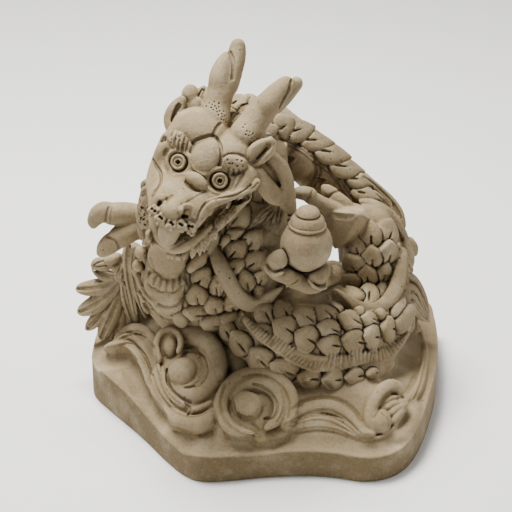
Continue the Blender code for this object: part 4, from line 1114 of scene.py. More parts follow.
def make_head():
    c = Clay((-122, -112, 158), (40, 52, 331), 0.62)
    E = c.egg

    def spot(uv):
        P, N, h = c.drape([uv])
        return P[0], N[0]

    def frame_on(n, up=HU):
        x = unit(np.cross(up, n))
        return np.stack([x, np.cross(n, x), n])
    # skull and broad face
    E(hp(-2, -8, -36), (34, 27, 30), HEAD, 0)
    E(hp(-3, -6, -10), (38, 21, 30), HEAD, 5)
    E(hp(2, -8, 6), (34, 17, 22), HEAD, 5)
    c.rod(hpath([(-29, -4, -8, 8.0), (-29, -12, 6, 7.6), (-26, -15, 18, 7)]), 6)
    c.rod(hpath([(34, 4, -14, 9), (36, -2, -4, 8.5), (30, -8, 10, 9)]), 6)
    # broad muzzle
    c.strap(hpath([(1, -9, 4, 31), (1, -9, 20, 28), (1, -8, 32, 23), (1, -7, 39.5, 18)]), HU, (0.46), 5)
    # crown lobes and forehead
    E(hp(-14, 16, -28), (24, 15, 21), HEAD, 4)
    E(hp(17, 11, -26), (19, 15.5, 21), HEAD, 2.0)
    p, n = spot((-43.4, 83.3))
    n = unit(n + hv(0, .55, .85))
    E(p - n * 6.2 + HU * 1.0, (14.4, 18.6, 12.4), frame_on(n), 0.8)
    # temples and cheek
    E(hp(-33, 3, -12), (8, 12, 18), HEAD, 5)
    E(hp(-24, 8, -16), (14, 11, 16), HEAD, 5)
    E(head_at((-85.4, 66.3), 16) + HR * 6, (6.0, 10.5, 13), HEAD, 1.5)
    # nose: ball, bridge and flared nostrils
    p, n = spot((-71, 39.9))
    E(p - n * 1.0 - HU * 1.2, (9.6, 7.6, 9.0), HEAD, 1.2)
    p, n = spot((-64.6, 48))
    E(p - n * 5.6, (6.8, 6.6, 12), HEAD, 5)
    p, n = spot((-80.8, 48.4))
    E(p - n * 1.4, (5.8, 5.8, 5.2), HEAD, 1.4)
    p, n = spot((-57.8, 38.7))
    E(p - n * 0.8, (6.6, 5.8, 5.4), HEAD, 0.9)
    c.draw([(-64.6, 39.9), (-62, 43.8), (-56.9, 44.6), (-52.7, 41.6), (-51.4, 36.5)], 0.95, 1.1, 0.4)
    c.draw([(-64.6, 38.2), (-61.2, 41.6), (-56.1, 42.1), (-53.5, 39.1), (-53.5, 34.9)], 1.7, 0.2, 0.8, cut=False)
    c.draw([(-76.9, 44.2), (-74.8, 48.4), (-71.4, 51.4)], 1.2, 0.8, 0.8)
    for uv, r, k in (((-81.6, 45.5), 2.0, (-1.2, -2.2)), ((-61.6, 33.7), 2.0, (2.6, -0.3))):
        p, n = spot(uv)
        w = sight([uv])[0]
        c.rod(np.array([list(p - w * 4) + [r + .2], list(p + w * 5) + [r * .7]]), 0.8, True)
        q = p + ACROSS * k[0] + UPWARD * k[1]
        c.rod(np.array([list(q - w * 4) + [r * .8], list(q + w * 4) + [r * .5]]), 0.8, True)
    # groove lines that part the lobes
    c.draw([(-28.1, 114.8), (-33.1, 109.6), (-36.1, 102.8)], 1.3, 1.3, 0.6)
    c.draw([(-57.8, 91.8), (-51.9, 97.8), (-44.2, 100.9), (-36.5, 102.4), (-31.4, 96.9), (-29.3, 88.4), (-30.6, 79), (-34.9, 70.5)], 1.3, 1.35, 0.6)
    c.draw([(-58.6, 78.2), (-54.4, 72.2), (-48.4, 68), (-41.6, 65.5), (-36.5, 66.7)], 1.6, 1.3, 0.8)
    c.draw([(-59.5, 63.8), (-56.9, 59.5), (-51, 56.1), (-44.2, 56.9)], 1.2, 1.2, 0.8)
    c.draw([(-43.4, 55.2), (-51, 50.1), (-58.6, 45.9)], 0.8, 0.8, 0.6)

    # ---- eyes: ringed balls with a drilled middle, deep in their sockets
    for uv, ax in (((-66.7, 79.9), hv(-.10, .66, .74)), ((-30.6, 63.8), hv(.30, .68, .66))):
        p, n = spot(uv)
        A = frame_on(ax)
        c.egg(p + ax * 0.5, (11.6, 10.6, 5.6), A, 1.5, cut=True)
        ctr = p - ax * 8.0
        c.egg(ctr, (8.4, 8.2, 8.4), A, 0.3)
        c.rod(ring(ctr + ax * 4.6, ax, 7.9, 1.25), 0.2, True)
        c.rod(ring(ctr + ax * 6.6, ax, 5.2, 1.2), 0.5)
        c.rod(ring(ctr + ax * 7.9, ax, 3.6, 0.95), 0.2, True)
        c.rod(np.array([list(ctr + ax * 11) + [2.3], list(ctr + ax * 4.5) + [1.9]]), 0.3, True)
        c.rod(ring(ctr + ax * 5.2, ax, 10.3, 1.5, squash=0.92), 1.2)
    c.draw([(-21.2, 56.1), (-16.1, 59.5), (-12.8, 65.5), (-11, 71.4)], 1.4, 1.0, 1.0)
    c.draw([(-39.9, 55.2), (-33.1, 51.9), (-25.5, 52.7)], 1.2, 0.5, 1.0)
    c.draw([(-75.6, 90.1), (-77.3, 81.6), (-75.6, 74), (-70.5, 68.8), (-62, 68)], 1.5, 0.6, 1.2)
    # the bump between the eyes
    p, n = spot((-50.6, 63.3))
    n = unit(n + hv(0, .35, .6))
    bx = unit(hv(.97, -.28, .1) - n * (hv(.97, -.28, .1) @ n))
    E(p + n * 0.8, (10.4, 6.2, 5.6), np.stack([bx, np.cross(n, bx), n]), 0.5)
    # ---- brows: a combed tuft on the left, a drilled pad on the right
    rng = np.random.default_rng(2)
    p, n = spot((-65.5, 97.8))
    c.strap(np.array([list(head_at((-71.4, 101.6), (p - HEAD_AT) @ HF - 2)) + [5.6], list(p + n * 1.2) + [6.6], list(head_at((-59.5, 92.6), (p - HEAD_AT) @ HF + 2)) + [5.2]]), n, 0.55, 0.8, power=3.0)
    for q0, q1 in (((-70.1, 107.1), (-72.7, 96)), ((-66.7, 105.4), (-69.7, 92.6)), ((-63.3, 103.7), (-66.3, 90.1)), ((-59.9, 101.1), (-62.9, 88.4)), ((-56.9, 97.8), (-59.5, 87.5))):
        c.draw([q0, ((q0[0] + q1[0]) / 2 - 0.6, (q0[1] + q1[1]) / 2), q1], (0.7, 1.5), 1.15, 0.1, per=5)
    for uv in ((-68, 99.5), (-64.6, 97.8), (-61.2, 95.2), (-65.5, 102), (-72.2, 99.5)):
        c.dots([uv], 0.8, 1.8)
    p, n = spot((-18.3, 78.2))
    sx = unit(HR - n * (HR @ n))
    c.egg(p + n * 0.8, (10.2, 7.0, 4.8), np.stack([sx, np.cross(n, sx), n]), 0.3, power=3.6)
    c.draw([(-28.9, 73.5), (-23.8, 70), (-17, 69.2), (-11, 72.2)], 1.2, 1.2, 0.2)
    c.dots([(-24.2, 81.6), (-22.5, 78.6), (-23.4, 74), (-20, 78.6), (-15.7, 81.6), (-15.7, 76.5), (-19.1, 73.5), (-11.9, 80.8), (-11, 76.5)], 0.95, 2.2)
    c.draw([(-23.8, 70.5), (-22.1, 75.6)], (1.3, 0.6), 1.0, 0.2, per=3)
    c.draw([(-19.1, 69.7), (-18.7, 74)], (1.3, 0.6), 1.0, 0.2, per=3)
    c.draw([(-14.4, 70.1), (-14.9, 74.8)], (1.3, 0.6), 1.0, 0.2, per=3)
    c.draw([(-28.1, 84.1), (-22.9, 86.3), (-16.1, 86.7), (-10.2, 84.6)], 1.0, 0.9, 0.4)

    # ---- upper lip, curling up to the corner of the mouth
    c.rod(hpath([((-53.1, 24.6), 40, 2.2), ((-48.2, 34), 36, 3.0), ((-40.4, 42.9), 29, 3.6), ((-28.9, 47.9), 20, 3.4), ((-17, 52.2), 10, 2.8), ((-7.6, 56.1), 1, 2.6), ((-1.7, 59.5), -5, 2.4), ((1.3, 63.3), -9, 2.2)]), 1.2)
    c.draw([(-50.1, 30.6), (-47.2, 38.2), (-42.5, 45), (-36.5, 48.9), (-27.2, 49.9), (-17.8, 51.4), (-9.3, 56.1), (-4.2, 60.4)], 1.1, 1.3, 0.3)
    c.draw([(-6, 56.1), (-1.7, 58.6), (1.7, 62)], 0.9, 1.1, 0.3)
    # left lip, seen edge on
    c.rod(hpath([(-8, -14, 43, 3.0), (-17, -13, 38, 4.2), (-25, -13, 28, 4.6), (-31, -12, 16, 5.0), (-35, -8, 2, 5.0), (-37, -2, -8, 4.0)]), 2.2)
    c.draw([(-88.4, 82.5), (-85, 76.5), (-81.2, 70.5), (-81.2, 62), (-85, 56.1), (-87.5, 51)], 1.5, 1.5, 0.4)
    c.draw([(-86.7, 56.1), (-88.4, 49.3), (-88.8, 43.4)], 1.2, 0.8, 0.8)

    # ---- inside of the mouth and the lower jaw
    c.rod(hpath([((-45, 25.5), 36, 5), ((-38.2, 31.9), 29, 6), ((-28.1, 37.8), 20, 6.0), ((-17, 43.4), 11, 5.4), ((-6.8, 49.3), 2, 4.4), ((0, 54.4), -5, 3.6)]), 0.5, True)
    c.rod(hpath([((-43.4, 20.4), 30, 7), ((-34.9, 28.1), 22, 8), ((-23.8, 34), 13, 8), ((-11.9, 41.6), 4, 7)]), 0.5, True)
    c.rod(hpath([(2, -33, -16, 22), (1.5, -39, 2, 19), (0.5, -44, 20, 16), (-1, -47, 33, 11.5)]), 3)
    c.rod(hpath([(0, -29, 52, 8.5), (1, -28, 36, 13), (5, -25, 22, 13.5), (12, -20, 10, 11)]), 1.0, True)
    c.rod(hpath([((-64.6, 17), 44, 4.5), ((-56.1, 20.4), 34, 6), ((-45.9, 25.5), 24, 5.5), ((-35.7, 33.1), 14, 4.5), ((-23.8, 40.8), 4, 3.4), ((-12.8, 46.8), -4, 2.6)]), 0.8, True)
    c.rod(hpath([(16, -27, 36, 6), (22, -20, 24, 6.5), (28, -12, 12, 5.5), (34, -6, 2, 4)]), 1.0, True)
    rim = [(41, -12, -8, 4.0), (37, -17, 2, 4.4), (31, -26, 14, 4.8), (24, -34, 26, 4.8), (14, -41, 36, 4.4), (3, -45.5, 41.5, 4.2), (-7, -44.5, 42.5, 4.0),
           (-16, -39, 38, 4.0), (-22, -31, 28, 4.6), (-28, -22, 14, 5.0), (-32, -14, 2, 5.2)]
    c.rod(hpath(rim), 1.6)
    # the mouth stays open under the right lip
    c.rod(hpath([((-45.9, 22.9), 37, 3.6), ((-41.6, 31.4), 33, 4.8), ((-33.1, 37.9), 25, 5.2), ((-21.2, 43.4), 15, 5.0), ((-11, 48.4), 6, 4.2), ((-2.5, 53.2), -2, 3.0)]), 0.4, True)
    c.rod(hpath([((-43.4, 28.9), 26, 4.4), ((-35.7, 35.3), 16, 5.0), ((-23.8, 40.8), 6, 4.6), ((-12.8, 46.2), -3, 3.6)]), 0.4, True)
    for _ in range(2):
        c.draw([(-49.3, 22.1), (-45.9, 25.5), (-40.8, 30.2), (-34, 36.8), (-25.5, 42.5), (-14.9, 46.4), (-5.1, 51.2), (0, 54.9)], 2.5, 1.4, 0.3)
    # tongue, lolling over the front of the jaw
    c.strap(hpath([(2, -24, 16, 8.0), ((-68.8, 29.8), 36, 8.4), ((-73.1, 22.9), 42, 8.8), ((-75.2, 17.4), 44.5, 8.2)]), HU * 0.75 + HF * 0.66, 0.74, 0.6)
    # teeth and lumps in the corners
    for uv, f, r in (((-88, 21.2), 40, 3.6), ((-88.4, 16.1), 38, 3.0), ((-59.5, 11.9), 34, 4.8), ((-54.4, 15.3), 30, 3.8), ((-63.8, 7.2), 37, 3.0)):
        E(head_at(uv, f), (r, r * 1.2, r), HEAD, 0.6)
    c.draw([(-61.2, 7.6), (-59.5, 11), (-57.8, 14.4)], 0.8, 1.1, 0.3)
    # ---- whisker rosettes under the nose
    for uv, r, holes in (((-87.1, 37.8), 4.6, ((-85.8, 38.2), (-88.7, 40.3))),
                         ((-80.8, 31), 4.7, ((-79.9, 31.9), (-81.9, 33.3))),
                         ((-71, 26.3), 4.8, ((-70.7, 26.9), (-72.6, 28.6))),
                         ((-64.2, 25.5), 4.9, ((-64.6, 27.5), (-62.7, 26.3))),
                         ((-55.4, 24.6), 4.9, ((-57.1, 25.5), (-54.1, 25)))):
        p, n = spot(uv)
        d = sight([uv])[0]
        if (p - HEAD_AT) @ HF < 34:
            p = head_at(uv, 43)
        o = p - d * 1.6
        E(o, (r * 1.0, r * 0.95, r * 0.8), np.stack([ACROSS, UPWARD, TOWARD]), 0.2)
        for a in np.linspace(0, 2 * math.pi, 6)[:-1] + rng.uniform(0, 1):
            q = o + (ACROSS * math.cos(a) + UPWARD * math.sin(a)) * r * 0.80 + TOWARD * r * 0.30
            E(q, (r * .36, r * .36, r * .5), HEAD, 0.3)
        for h_ in holes:
            c.dots([h_], 1.5, 4.0)
    E(head_at((-54.4, 20), 43), (2.6, 3.4, 3.0), np.stack([ACROSS, UPWARD, TOWARD]), 0.8)
    c.draw([(-59.1, 29.8), (-56.9, 22.9), (-54.8, 18.7)], 0.8, 1.1, 0.2)
    c.draw([(-67.1, 30.6), (-67.1, 25.5), (-67.6, 21.2)], 0.7, 1.0, 0.2)
    # ---- beard: pinched tufts hanging from the jaw
    keep = c.d.copy()
    tufts = curve(np.array([[*(-91.8, 20.4), 6], [*(-90.1, 13.6), 6], [*(-86.7, 8.5), 6], [*(-81.2, 4.6), 6.2], [*(-74, 2.2), 6.6], [*(-66.3, 1.4), 7.4], [*(-58.6, 3.7), 9], [*(-51.9, 7.8), 11],
                            [*(-46.3, 12.8), 13], [*(-41.6, 17.3), 13], [*(-36.1, 22.6), 12], [*(-30.2, 28.9), 10], [*(-23.4, 35.2), 9], [*(-16.6, 40.8), 7]], float), 6)
    step = np.concatenate([[0], np.cumsum(np.hypot(*np.diff(tufts[:, :2], axis=0).T))])
    for i, q in enumerate(np.arange(1.0, step[-1], 3.7)):
        u, v, L = (np.interp(q, step, tufts[:, j]) for j in range(3))
        du, dv = (np.interp(q + 1, step, tufts[:, j]) - np.interp(q - 1, step, tufts[:, j]) for j in range(2))
        j = rng.uniform(-1, 1, 4)
        a_ = (u - dv * 0.2 + j[0] * 0.8, v + 2.2 + j[1])
        m_ = (u + j[2] * 1.0 + 0.35 * (du < 0), v - L * 0.28)
        b_ = (u + j[2] * 2.0 - 0.5, v - L * (0.62 + 0.15 * j[3]))
        now = c.d
        c.d = keep
        P, N, hit = c.drape([a_, m_, b_])
        c.d = now
        if not hit[0]:
            continue
        p0 = P[0] + N[0] * 0.5
        p1 = (P[1] if hit[1] else P[0] - UPWARD * L * 0.4) + TOWARD * 1.8
        p2 = p0 - UPWARD * (L * 0.9) + TOWARD * 0.6 + ACROSS * j[2] * 1.6
        p1 = (p0 + p2) / 2 + TOWARD * 1.8
        w = 1.5 + 0.08 * L
        c.rod(curve(np.array([list(p0) + [w * 0.8], list(p1) + [w], list(p2) + [0.7]]), 4), 0.15)
        if L > 8:
            c.rod(np.array([list(p0 + TOWARD * 2.6 + ACROSS * .2) + [0.7], list((p1 + p2) / 2 + TOWARD * 2.2) + [0.5]]), 0.1, True)
    # smooth lower lip that runs round above the beard
    c.rod(hpath([((-87.5, 18.7), 37, 2.8), ((-84.6, 13.2), 40, 3.2), ((-78.2, 8.5), 43, 3.4), ((-67.6, 5.4), 44.5, 3.5), ((-58.2, 8.5), 42.5, 3.5), ((-51.4, 13.3), 38.5, 3.2), ((-45.5, 18.7), 34, 2.8), ((-39.1, 25), 28, 2.2)]), 0.5)
    # mane that fills the side of the neck behind the left cheek
    c.rod(hpath([((-88.4, 59.5), 2, 7), ((-91, 45), 2, 8), ((-91.8, 30.6), 2, 9), ((-90.1, 13.6), 0, 10)]), 3)
    for k_, (uv, f, L, W, ang) in enumerate((((-93.5, 56.1), 10, 8, 5, 100), ((-94.8, 48.4), 11, 10, 6, 110), ((-97.8, 41.6), 10, 11, 6.5, 100), ((-93.5, 38.2), 13, 10, 6.5, 80), ((-98.6, 34), 9, 11, 7, 120),
                                             ((-93.9, 29.8), 12, 11, 7, 95), ((-97.8, 23.8), 8, 12, 7, 115), ((-93.5, 18.7), 11, 12, 7, 80), ((-97.8, 13.6), 7, 12, 7, 110), ((-93.5, 8.5), 9, 11, 6, 90))):
        o = head_at(uv, f)
        w = math.cos(math.radians(ang)) * ACROSS + math.sin(math.radians(ang)) * UPWARD
        c.petal(o, unit(TOWARD - ACROSS * 0.3), w, L, W, 3.0, 12, slit=0.5 if k_ % 2 else 0)

    # ---- ears
    c.strap(hpath([((-71.4, 109.6), -24, 5.5), ((-71.4, 116.5), -29, 6.8), ((-68, 124.1), -34, 6.6), ((-64.6, 130), -38, 4.4), ((-62.9, 132.6), -40, 3.0)]), HF * 0.9 + HU * 0.2, 0.6, 1.2)
    c.strap(hpath([((-71.8, 113), -19, 1.8), ((-70.1, 119.8), -24, 3.0), ((-67.1, 126.6), -29, 3.0), ((-65.5, 130), -32, 1.8)]), HF, 1.3, 0.6, cut=True)
    c.draw([(-71.8, 114.8), (-69.3, 121.5), (-65.5, 127.9)], (1.2, 2.4), 1.7, 0.3)
    c.strap(hpath([((-5.1, 80.8), -22, 5.6), ((0.8, 85.8), -27, 8.2), ((7.6, 91), -32, 7.6), ((12.8, 96), -38, 4.0)]), HF * 0.8 + HU * 0.5 - HR * 0.2, 0.6, 1.2)
    c.rod(hpath([((-5.1, 84.1), -20, 2.4), ((-2.5, 91), -25, 3.2), ((4.2, 95.6), -31, 3.2), ((12.8, 98.2), -37, 2.6)]), 0.8)
    c.draw([(-1.7, 80.8), (1.7, 83.7), (6, 88.4), (10.6, 93.5)], 2.6, 1.1, 0.6)
    c.draw([(0.8, 82.9), (5.1, 87.1), (9.3, 91.8)], 1.5, 2.0, 0.4)

    # ---- horns, forked near the tip
    c.rod(hpath([((-34.9, 113.9), -40, 12.0), ((-34, 125.8), -50, 10.8), ((-31.4, 136), -58, 10.2), ((-28.9, 145.3), -66, 9.8)]), 2.0)
    c.strap(hpath([((-25.5, 144.5), -67, 9.4), ((-21.2, 156.4), -76, 8.4), ((-17, 168.3), -86, 7.0), ((-15.7, 175.9), -92, 5.8), ((-15.3, 179.3), -94, 4.6)]), HF, 0.95, 2.0)
    c.strap(hpath([((-31.4, 141.1), -60, 9.0), ((-30.6, 152.2), -67, 8.6), ((-27.6, 161.5), -75, 7.4), ((-24.6, 168.3), -81, 5.2)]), HF, 0.95, 0.8)
    c.draw([(-22.5, 173.4), (-19.6, 166.6), (-19.1, 158.9), (-20, 150.4)], 1.5, 1.2, 0.8)
    c.rod(hpath([((-10.2, 102), -36, 12.0), ((-5.1, 109.6), -46, 11.2), ((1.7, 119), -56, 10.6), ((8.5, 127.5), -64, 10.0)]), 2.0)
    c.strap(hpath([((9.3, 127.5), -62, 9.6), ((16.1, 136), -72, 8.6), ((22.9, 143.2), -80, 6.8), ((25.9, 146.2), -84, 5.6)]), HF, 0.95, 2.0)
    c.strap(hpath([((16.1, 129.2), -72, 8.0), ((23.8, 136), -81, 7.2), ((30.6, 143.2), -90, 6.2), ((34.4, 147), -94, 5.2)]), HF, 0.95, 0.8)
    c.draw([(30.6, 149.6), (28.1, 141.1), (23.8, 133.4), (20.4, 125.8)], 1.5, 1.2, 0.8)
    # pricked skin round the horn roots
    pts = [(-39.9, 130), (-37.4, 128.8), (-34.9, 127.5), (-38.2, 126.2), (-42.5, 127.5), (-36.1, 124.1), (-33.6, 125.4), (-31.4, 126.6), (-33.1, 122.4), (-30.6, 123.2), (-28.9, 120.7), (-31.9, 119.8), (-28.5, 118.1), (-27.2, 122.8), (-26.3, 119), (-27.2, 115.6), (-29.3, 116), (-25.1, 116.5), (-25.5, 113.9), (-44.2, 130.9), (-46.8, 126.6), (-35.7, 130.9), (-31.4, 129.6), (-11, 109.6), (-7.6, 106.2), (-5.1, 105.4), (-6, 102.5), (-2.5, 103.7), (-0.8, 101.1), (-3.4, 100), (0.8, 99.8), (-8.5, 103.2), (-9.3, 111.8), (-0.3, 97.8)]
    c.dots(pts, 0.85, 1.5)

    # ---- mane: the fat curl behind the right ear, and the lumps behind the left horn
    c.rod(hpath([((1.3, 71.4), -20, 5.0), ((5.1, 63.8), -22, 6.4), ((11, 56.1), -25, 7.8), ((17.8, 51.9), -29, 8.4), ((23.8, 55.2), -34, 8.0), ((24.6, 64.6), -38, 6.8), ((21.2, 74.8), -40, 6.2), ((16.1, 81.6), -40, 5.8), ((11.9, 85), -38, 4.4)]), 0.8)
    c.rod(hpath([((21.2, 51), -32, 6.0), ((25.5, 45), -35, 5.0), ((28.1, 39.9), -38, 3.4)]), 2)
    c.draw([(6.8, 75.6), (10.2, 70.5), (14.4, 65.5), (18.7, 61.2)], 3.0, 1.3, 0.3)
    for uv in ((8.5, 74.8), (10.6, 72.7), (12.8, 70.5), (14.9, 68), (17, 65.5), (18.7, 62.9), (11.9, 68)):
        p, n = spot(uv)
        c.rod(np.array([list(p - n) + [1.2], list(p + n * 1.4 + ACROSS) + [0.8]]), 0.2)
        c.dots([(uv[0] + 0.8, uv[1] - 1.0)], 0.7, 1.5)
    E(head_at((17, 90.1), -46), (8.5, 8.5, 4.5), np.stack([ACROSS, UPWARD, TOWARD]), 0.8)
    c.rod(hpath([((5.1, 74.8), -34, 8), ((13.6, 64.6), -38, 9), ((20.4, 57.8), -42, 8)]), 1.0)
    for uv, f, rr in (((-55.7, 136), -50, (7.6, 9.6)), ((-59.5, 125.8), -42, (6.5, 7.5)), ((-51, 127.5), -46, (7.5, 9))):
        E(head_at(uv, f), (rr[0], rr[1], rr[0] * 0.8), np.stack([ACROSS, UPWARD, TOWARD]), 0.8)
    for a, b, w in (((-49.3, 129.2), (-44.2, 142.8), 5.6), ((-44.2, 127.5), (-38.2, 141.1), 5.0)):
        p0, p1 = head_at(a, -50), head_at(b, -58)
        fur(c, curve(np.array([list(p0) + [w * .8], list((p0 + p1) / 2 + TOWARD) + [w], list(p1) + [2.0]]), 7), TOWARD, 0.6, 0.8, (-0.3, 0.3), 0.8)
    # crown of the mane between and behind the horns, and locks down the back of the neck
    for (r, u, f), L, w in (((4, 14, -50), 18, 8), ((-14, 16, -54), 18, 8), ((22, 8, -50), 18, 8), ((4, 2, -62), 22, 9), ((-18, 0, -60), 22, 9), ((24, -4, -58), 22, 9),
                            ((-34, -2, -46), 20, 8), ((38, -10, -42), 18, 8)):
        a = hp(r, u, f)
        back = hv(r * 0.01, -0.35, -0.92)
        m = a + back * L * 0.5 + HU * 2.5
        b = a + back * L - HU * L * 0.35
        fur(c, curve(np.array([list(a) + [w * 0.7], list(m) + [w], list(b) + [1.6]]), 7), unit(HU - back * 0.2), 0.7, 1.0, (-0.5, 0.0, 0.5), 0.9)
    # side locks behind the left cheek
    for a, b, w, f0, f1 in (((-76.5, 102), (-79, 93.5), 3.6, -8, -6), ((-91, 57.8), (-96.9, 51), 3.8, 12, 6), ((-91.8, 49.3), (-96, 40.8), 3.8, 14, 8), ((-92.6, 62.9), (-96.9, 58.6), 3.2, 8, 4),
                            ((-91, 36.5), (-96.9, 30.6), 4.0, 12, 6)):
        p0, p1 = head_at(a, f0), head_at(b, f1)
        m = (p0 + p1) / 2 + TOWARD * 1.5
        fur(c, curve(np.array([list(p0) + [w * 0.8], list(m) + [w], list(p1) + [1.6]]), 6), TOWARD, 0.8, 0.8, (-0.3, 0.35), 0.8)
    # throat skin under the jaw
    c.rod(np.array([list(hp(0, -38, -20)) + [20], [-72, -6, 172, 22]]), 5)
    return c


# ------------------------------------------------------------------ jewel and the hand that holds it
def make_jewel():
    c = Clay((-24, -74, 104), (68, 6, 220), 0.62)
    o = at((42.8, 9.7), -44)
    up = unit([0.03, -0.02, 1.0])
    ex = unit(np.cross([0, 1, 0], up))
    axes = np.stack([ex, np.cross(up, ex), up])
    c.egg(o, (21.4, 21.4, 23.0), axes)
    # stepped cap: domes with a keen rim, each set on the last
    U = up.astype(np.float32)

    def dome(h, r, t, k):
        q = (o + up * h).astype(np.float32)
        A = axes.astype(np.float32)

        def f(X, Y, Z):
            x, y, z = X - q[0], Y - q[1], Z - q[2]
            p = [((x * A[i, 0] + y * A[i, 1]) + z * A[i, 2]) for i in range(3)]
            k0 = np.sqrt((p[0] / r) ** 2 + (p[1] / r) ** 2 + (p[2] / t) ** 2) + np.float32(1e-6)
            k1 = np.sqrt((p[0] / r ** 2) ** 2 + (p[1] / r ** 2) ** 2 + (p[2] / t ** 2) ** 2) + np.float32(1e-6)
            return np.maximum(k0 * (k0 - 1) / k1, -p[2] - 0.3)
        c.blend(q - r - 4, q + r + 4, f, k)
    dome(17.9, 15.5, 8.4, 0.12)
    dome(20.9, 14.1, 9.8, 0.08)
    dome(28.5, 9.8, 6.6, 0.08)
    for h, r, g in ((17.2, 15.4, 0.7), (20.4, 14.9, 0.7), (27.9, 9.6, 0.7)):
        c.rod(ring(o + up * h, up, r, g), 0.15, True)
    jewel = c.d.copy()
    # hand: the palm lies under the ball
    c.rod(path([((28.1, -15.3), -46, 8), ((38.2, -18.7), -46, 9), ((48.4, -17.8), -42, 8)]), 3)
    # left finger, coming up beside the ball
    c.rod(path([((38.2, -20.4), -52, 6.0), ((29.8, -17.7), -57, 6.2), ((21.7, -15.6), -58, 6.4), ((15.3, -11.6), -57, 6.2), ((12.8, -7.6), -55, 4.8)]), 1.0)
    # right finger
    c.rod(path([((32.3, -20.1), -52, 4.6), ((38.2, -22.9), -55, 6.2), ((45.9, -25.2), -56, 6.8), ((52.7, -23.8), -54, 6.2), ((56.5, -19.6), -51, 4.6)]), 0.5)
    hand = c.d.copy()
    # nails
    c.strap(path([((16.1, -8), -56, 7.4), ((17.8, -4.8), -57, 8.2), ((20.4, -1.2), -57, 6.8), ((21.8, 1.2), -56, 4.0)]), (0.1, -.85, .52), 0.8, 0.3)
    c.strap(path([((47.6, -18.3), -56, 3.4), ((52.4, -17.4), -57, 6.6), ((56.1, -13.9), -55, 6.6), ((58.3, -10.2), -52, 4.2)]), (0, -.85, .52), 0.75, 0.3)
    c.draw([(9.2, -7.2), (11.5, -11), (16.1, -13.3), (21.2, -11.9), (26.3, -8.5)], 1.0, 1.3, 0.2)
    c.draw([(42.9, -16.6), (45.9, -20.4), (50.1, -23.8), (55.2, -25.3), (61.6, -22.9)], 1.0, 1.3, 0.2)
    c.draw([(8.3, -8.9), (11, -13.9), (16.1, -16.1), (22.1, -14.4)], 1.2, 0.2, 0.6, cut=False)
    c.draw([(44.6, -20.4), (48.9, -25.5), (54.4, -27.7), (60.4, -25.9)], 1.2, 0.2, 0.6, cut=False)
    c.draw([(35.7, -20.4), (33.1, -22.9), (29.8, -24.5)], 0.9, 1.1, 0.2, per=3)
    # keep the seam round the jewel crisp
    c.d = np.minimum(np.maximum(c.d, -(jewel - 1.0)), jewel)
    # a third claw and the wrist behind
    c.rod(path([((55.2, -21.2), -34, 6.0), ((62.9, -18.3), -18, 6.6), ((67.1, -14.4), -8, 6)]), 1.5)
    c.rod(path([((58.6, -8.5), -4, 3.4), ((65.5, -8), -2, 4.2), ((73.1, -10.7), 2, 4.4)]), 0.8)
    c.rod(path([((39.9, -18.7), -36, 8), ((52.7, -20), -26, 7.5), ((63.8, -17.4), -6, 7.5), ((72.2, -16.1), 6, 7)]), 3)
    c.rod(path([((23.8, -12.8), -42, 6.5), ((17, -9.3), -32, 7), ((10.2, -5.1), -24, 8)]), 2)
    c.rod(path([((48.4, -14.4), -42, 6.0), ((56.1, -11), -38, 5.0), ((60.4, -11.9), -24, 5.0)]), 1.5)
    c.d = np.minimum(np.maximum(c.d, -(jewel - 0.8)), jewel)
    return c


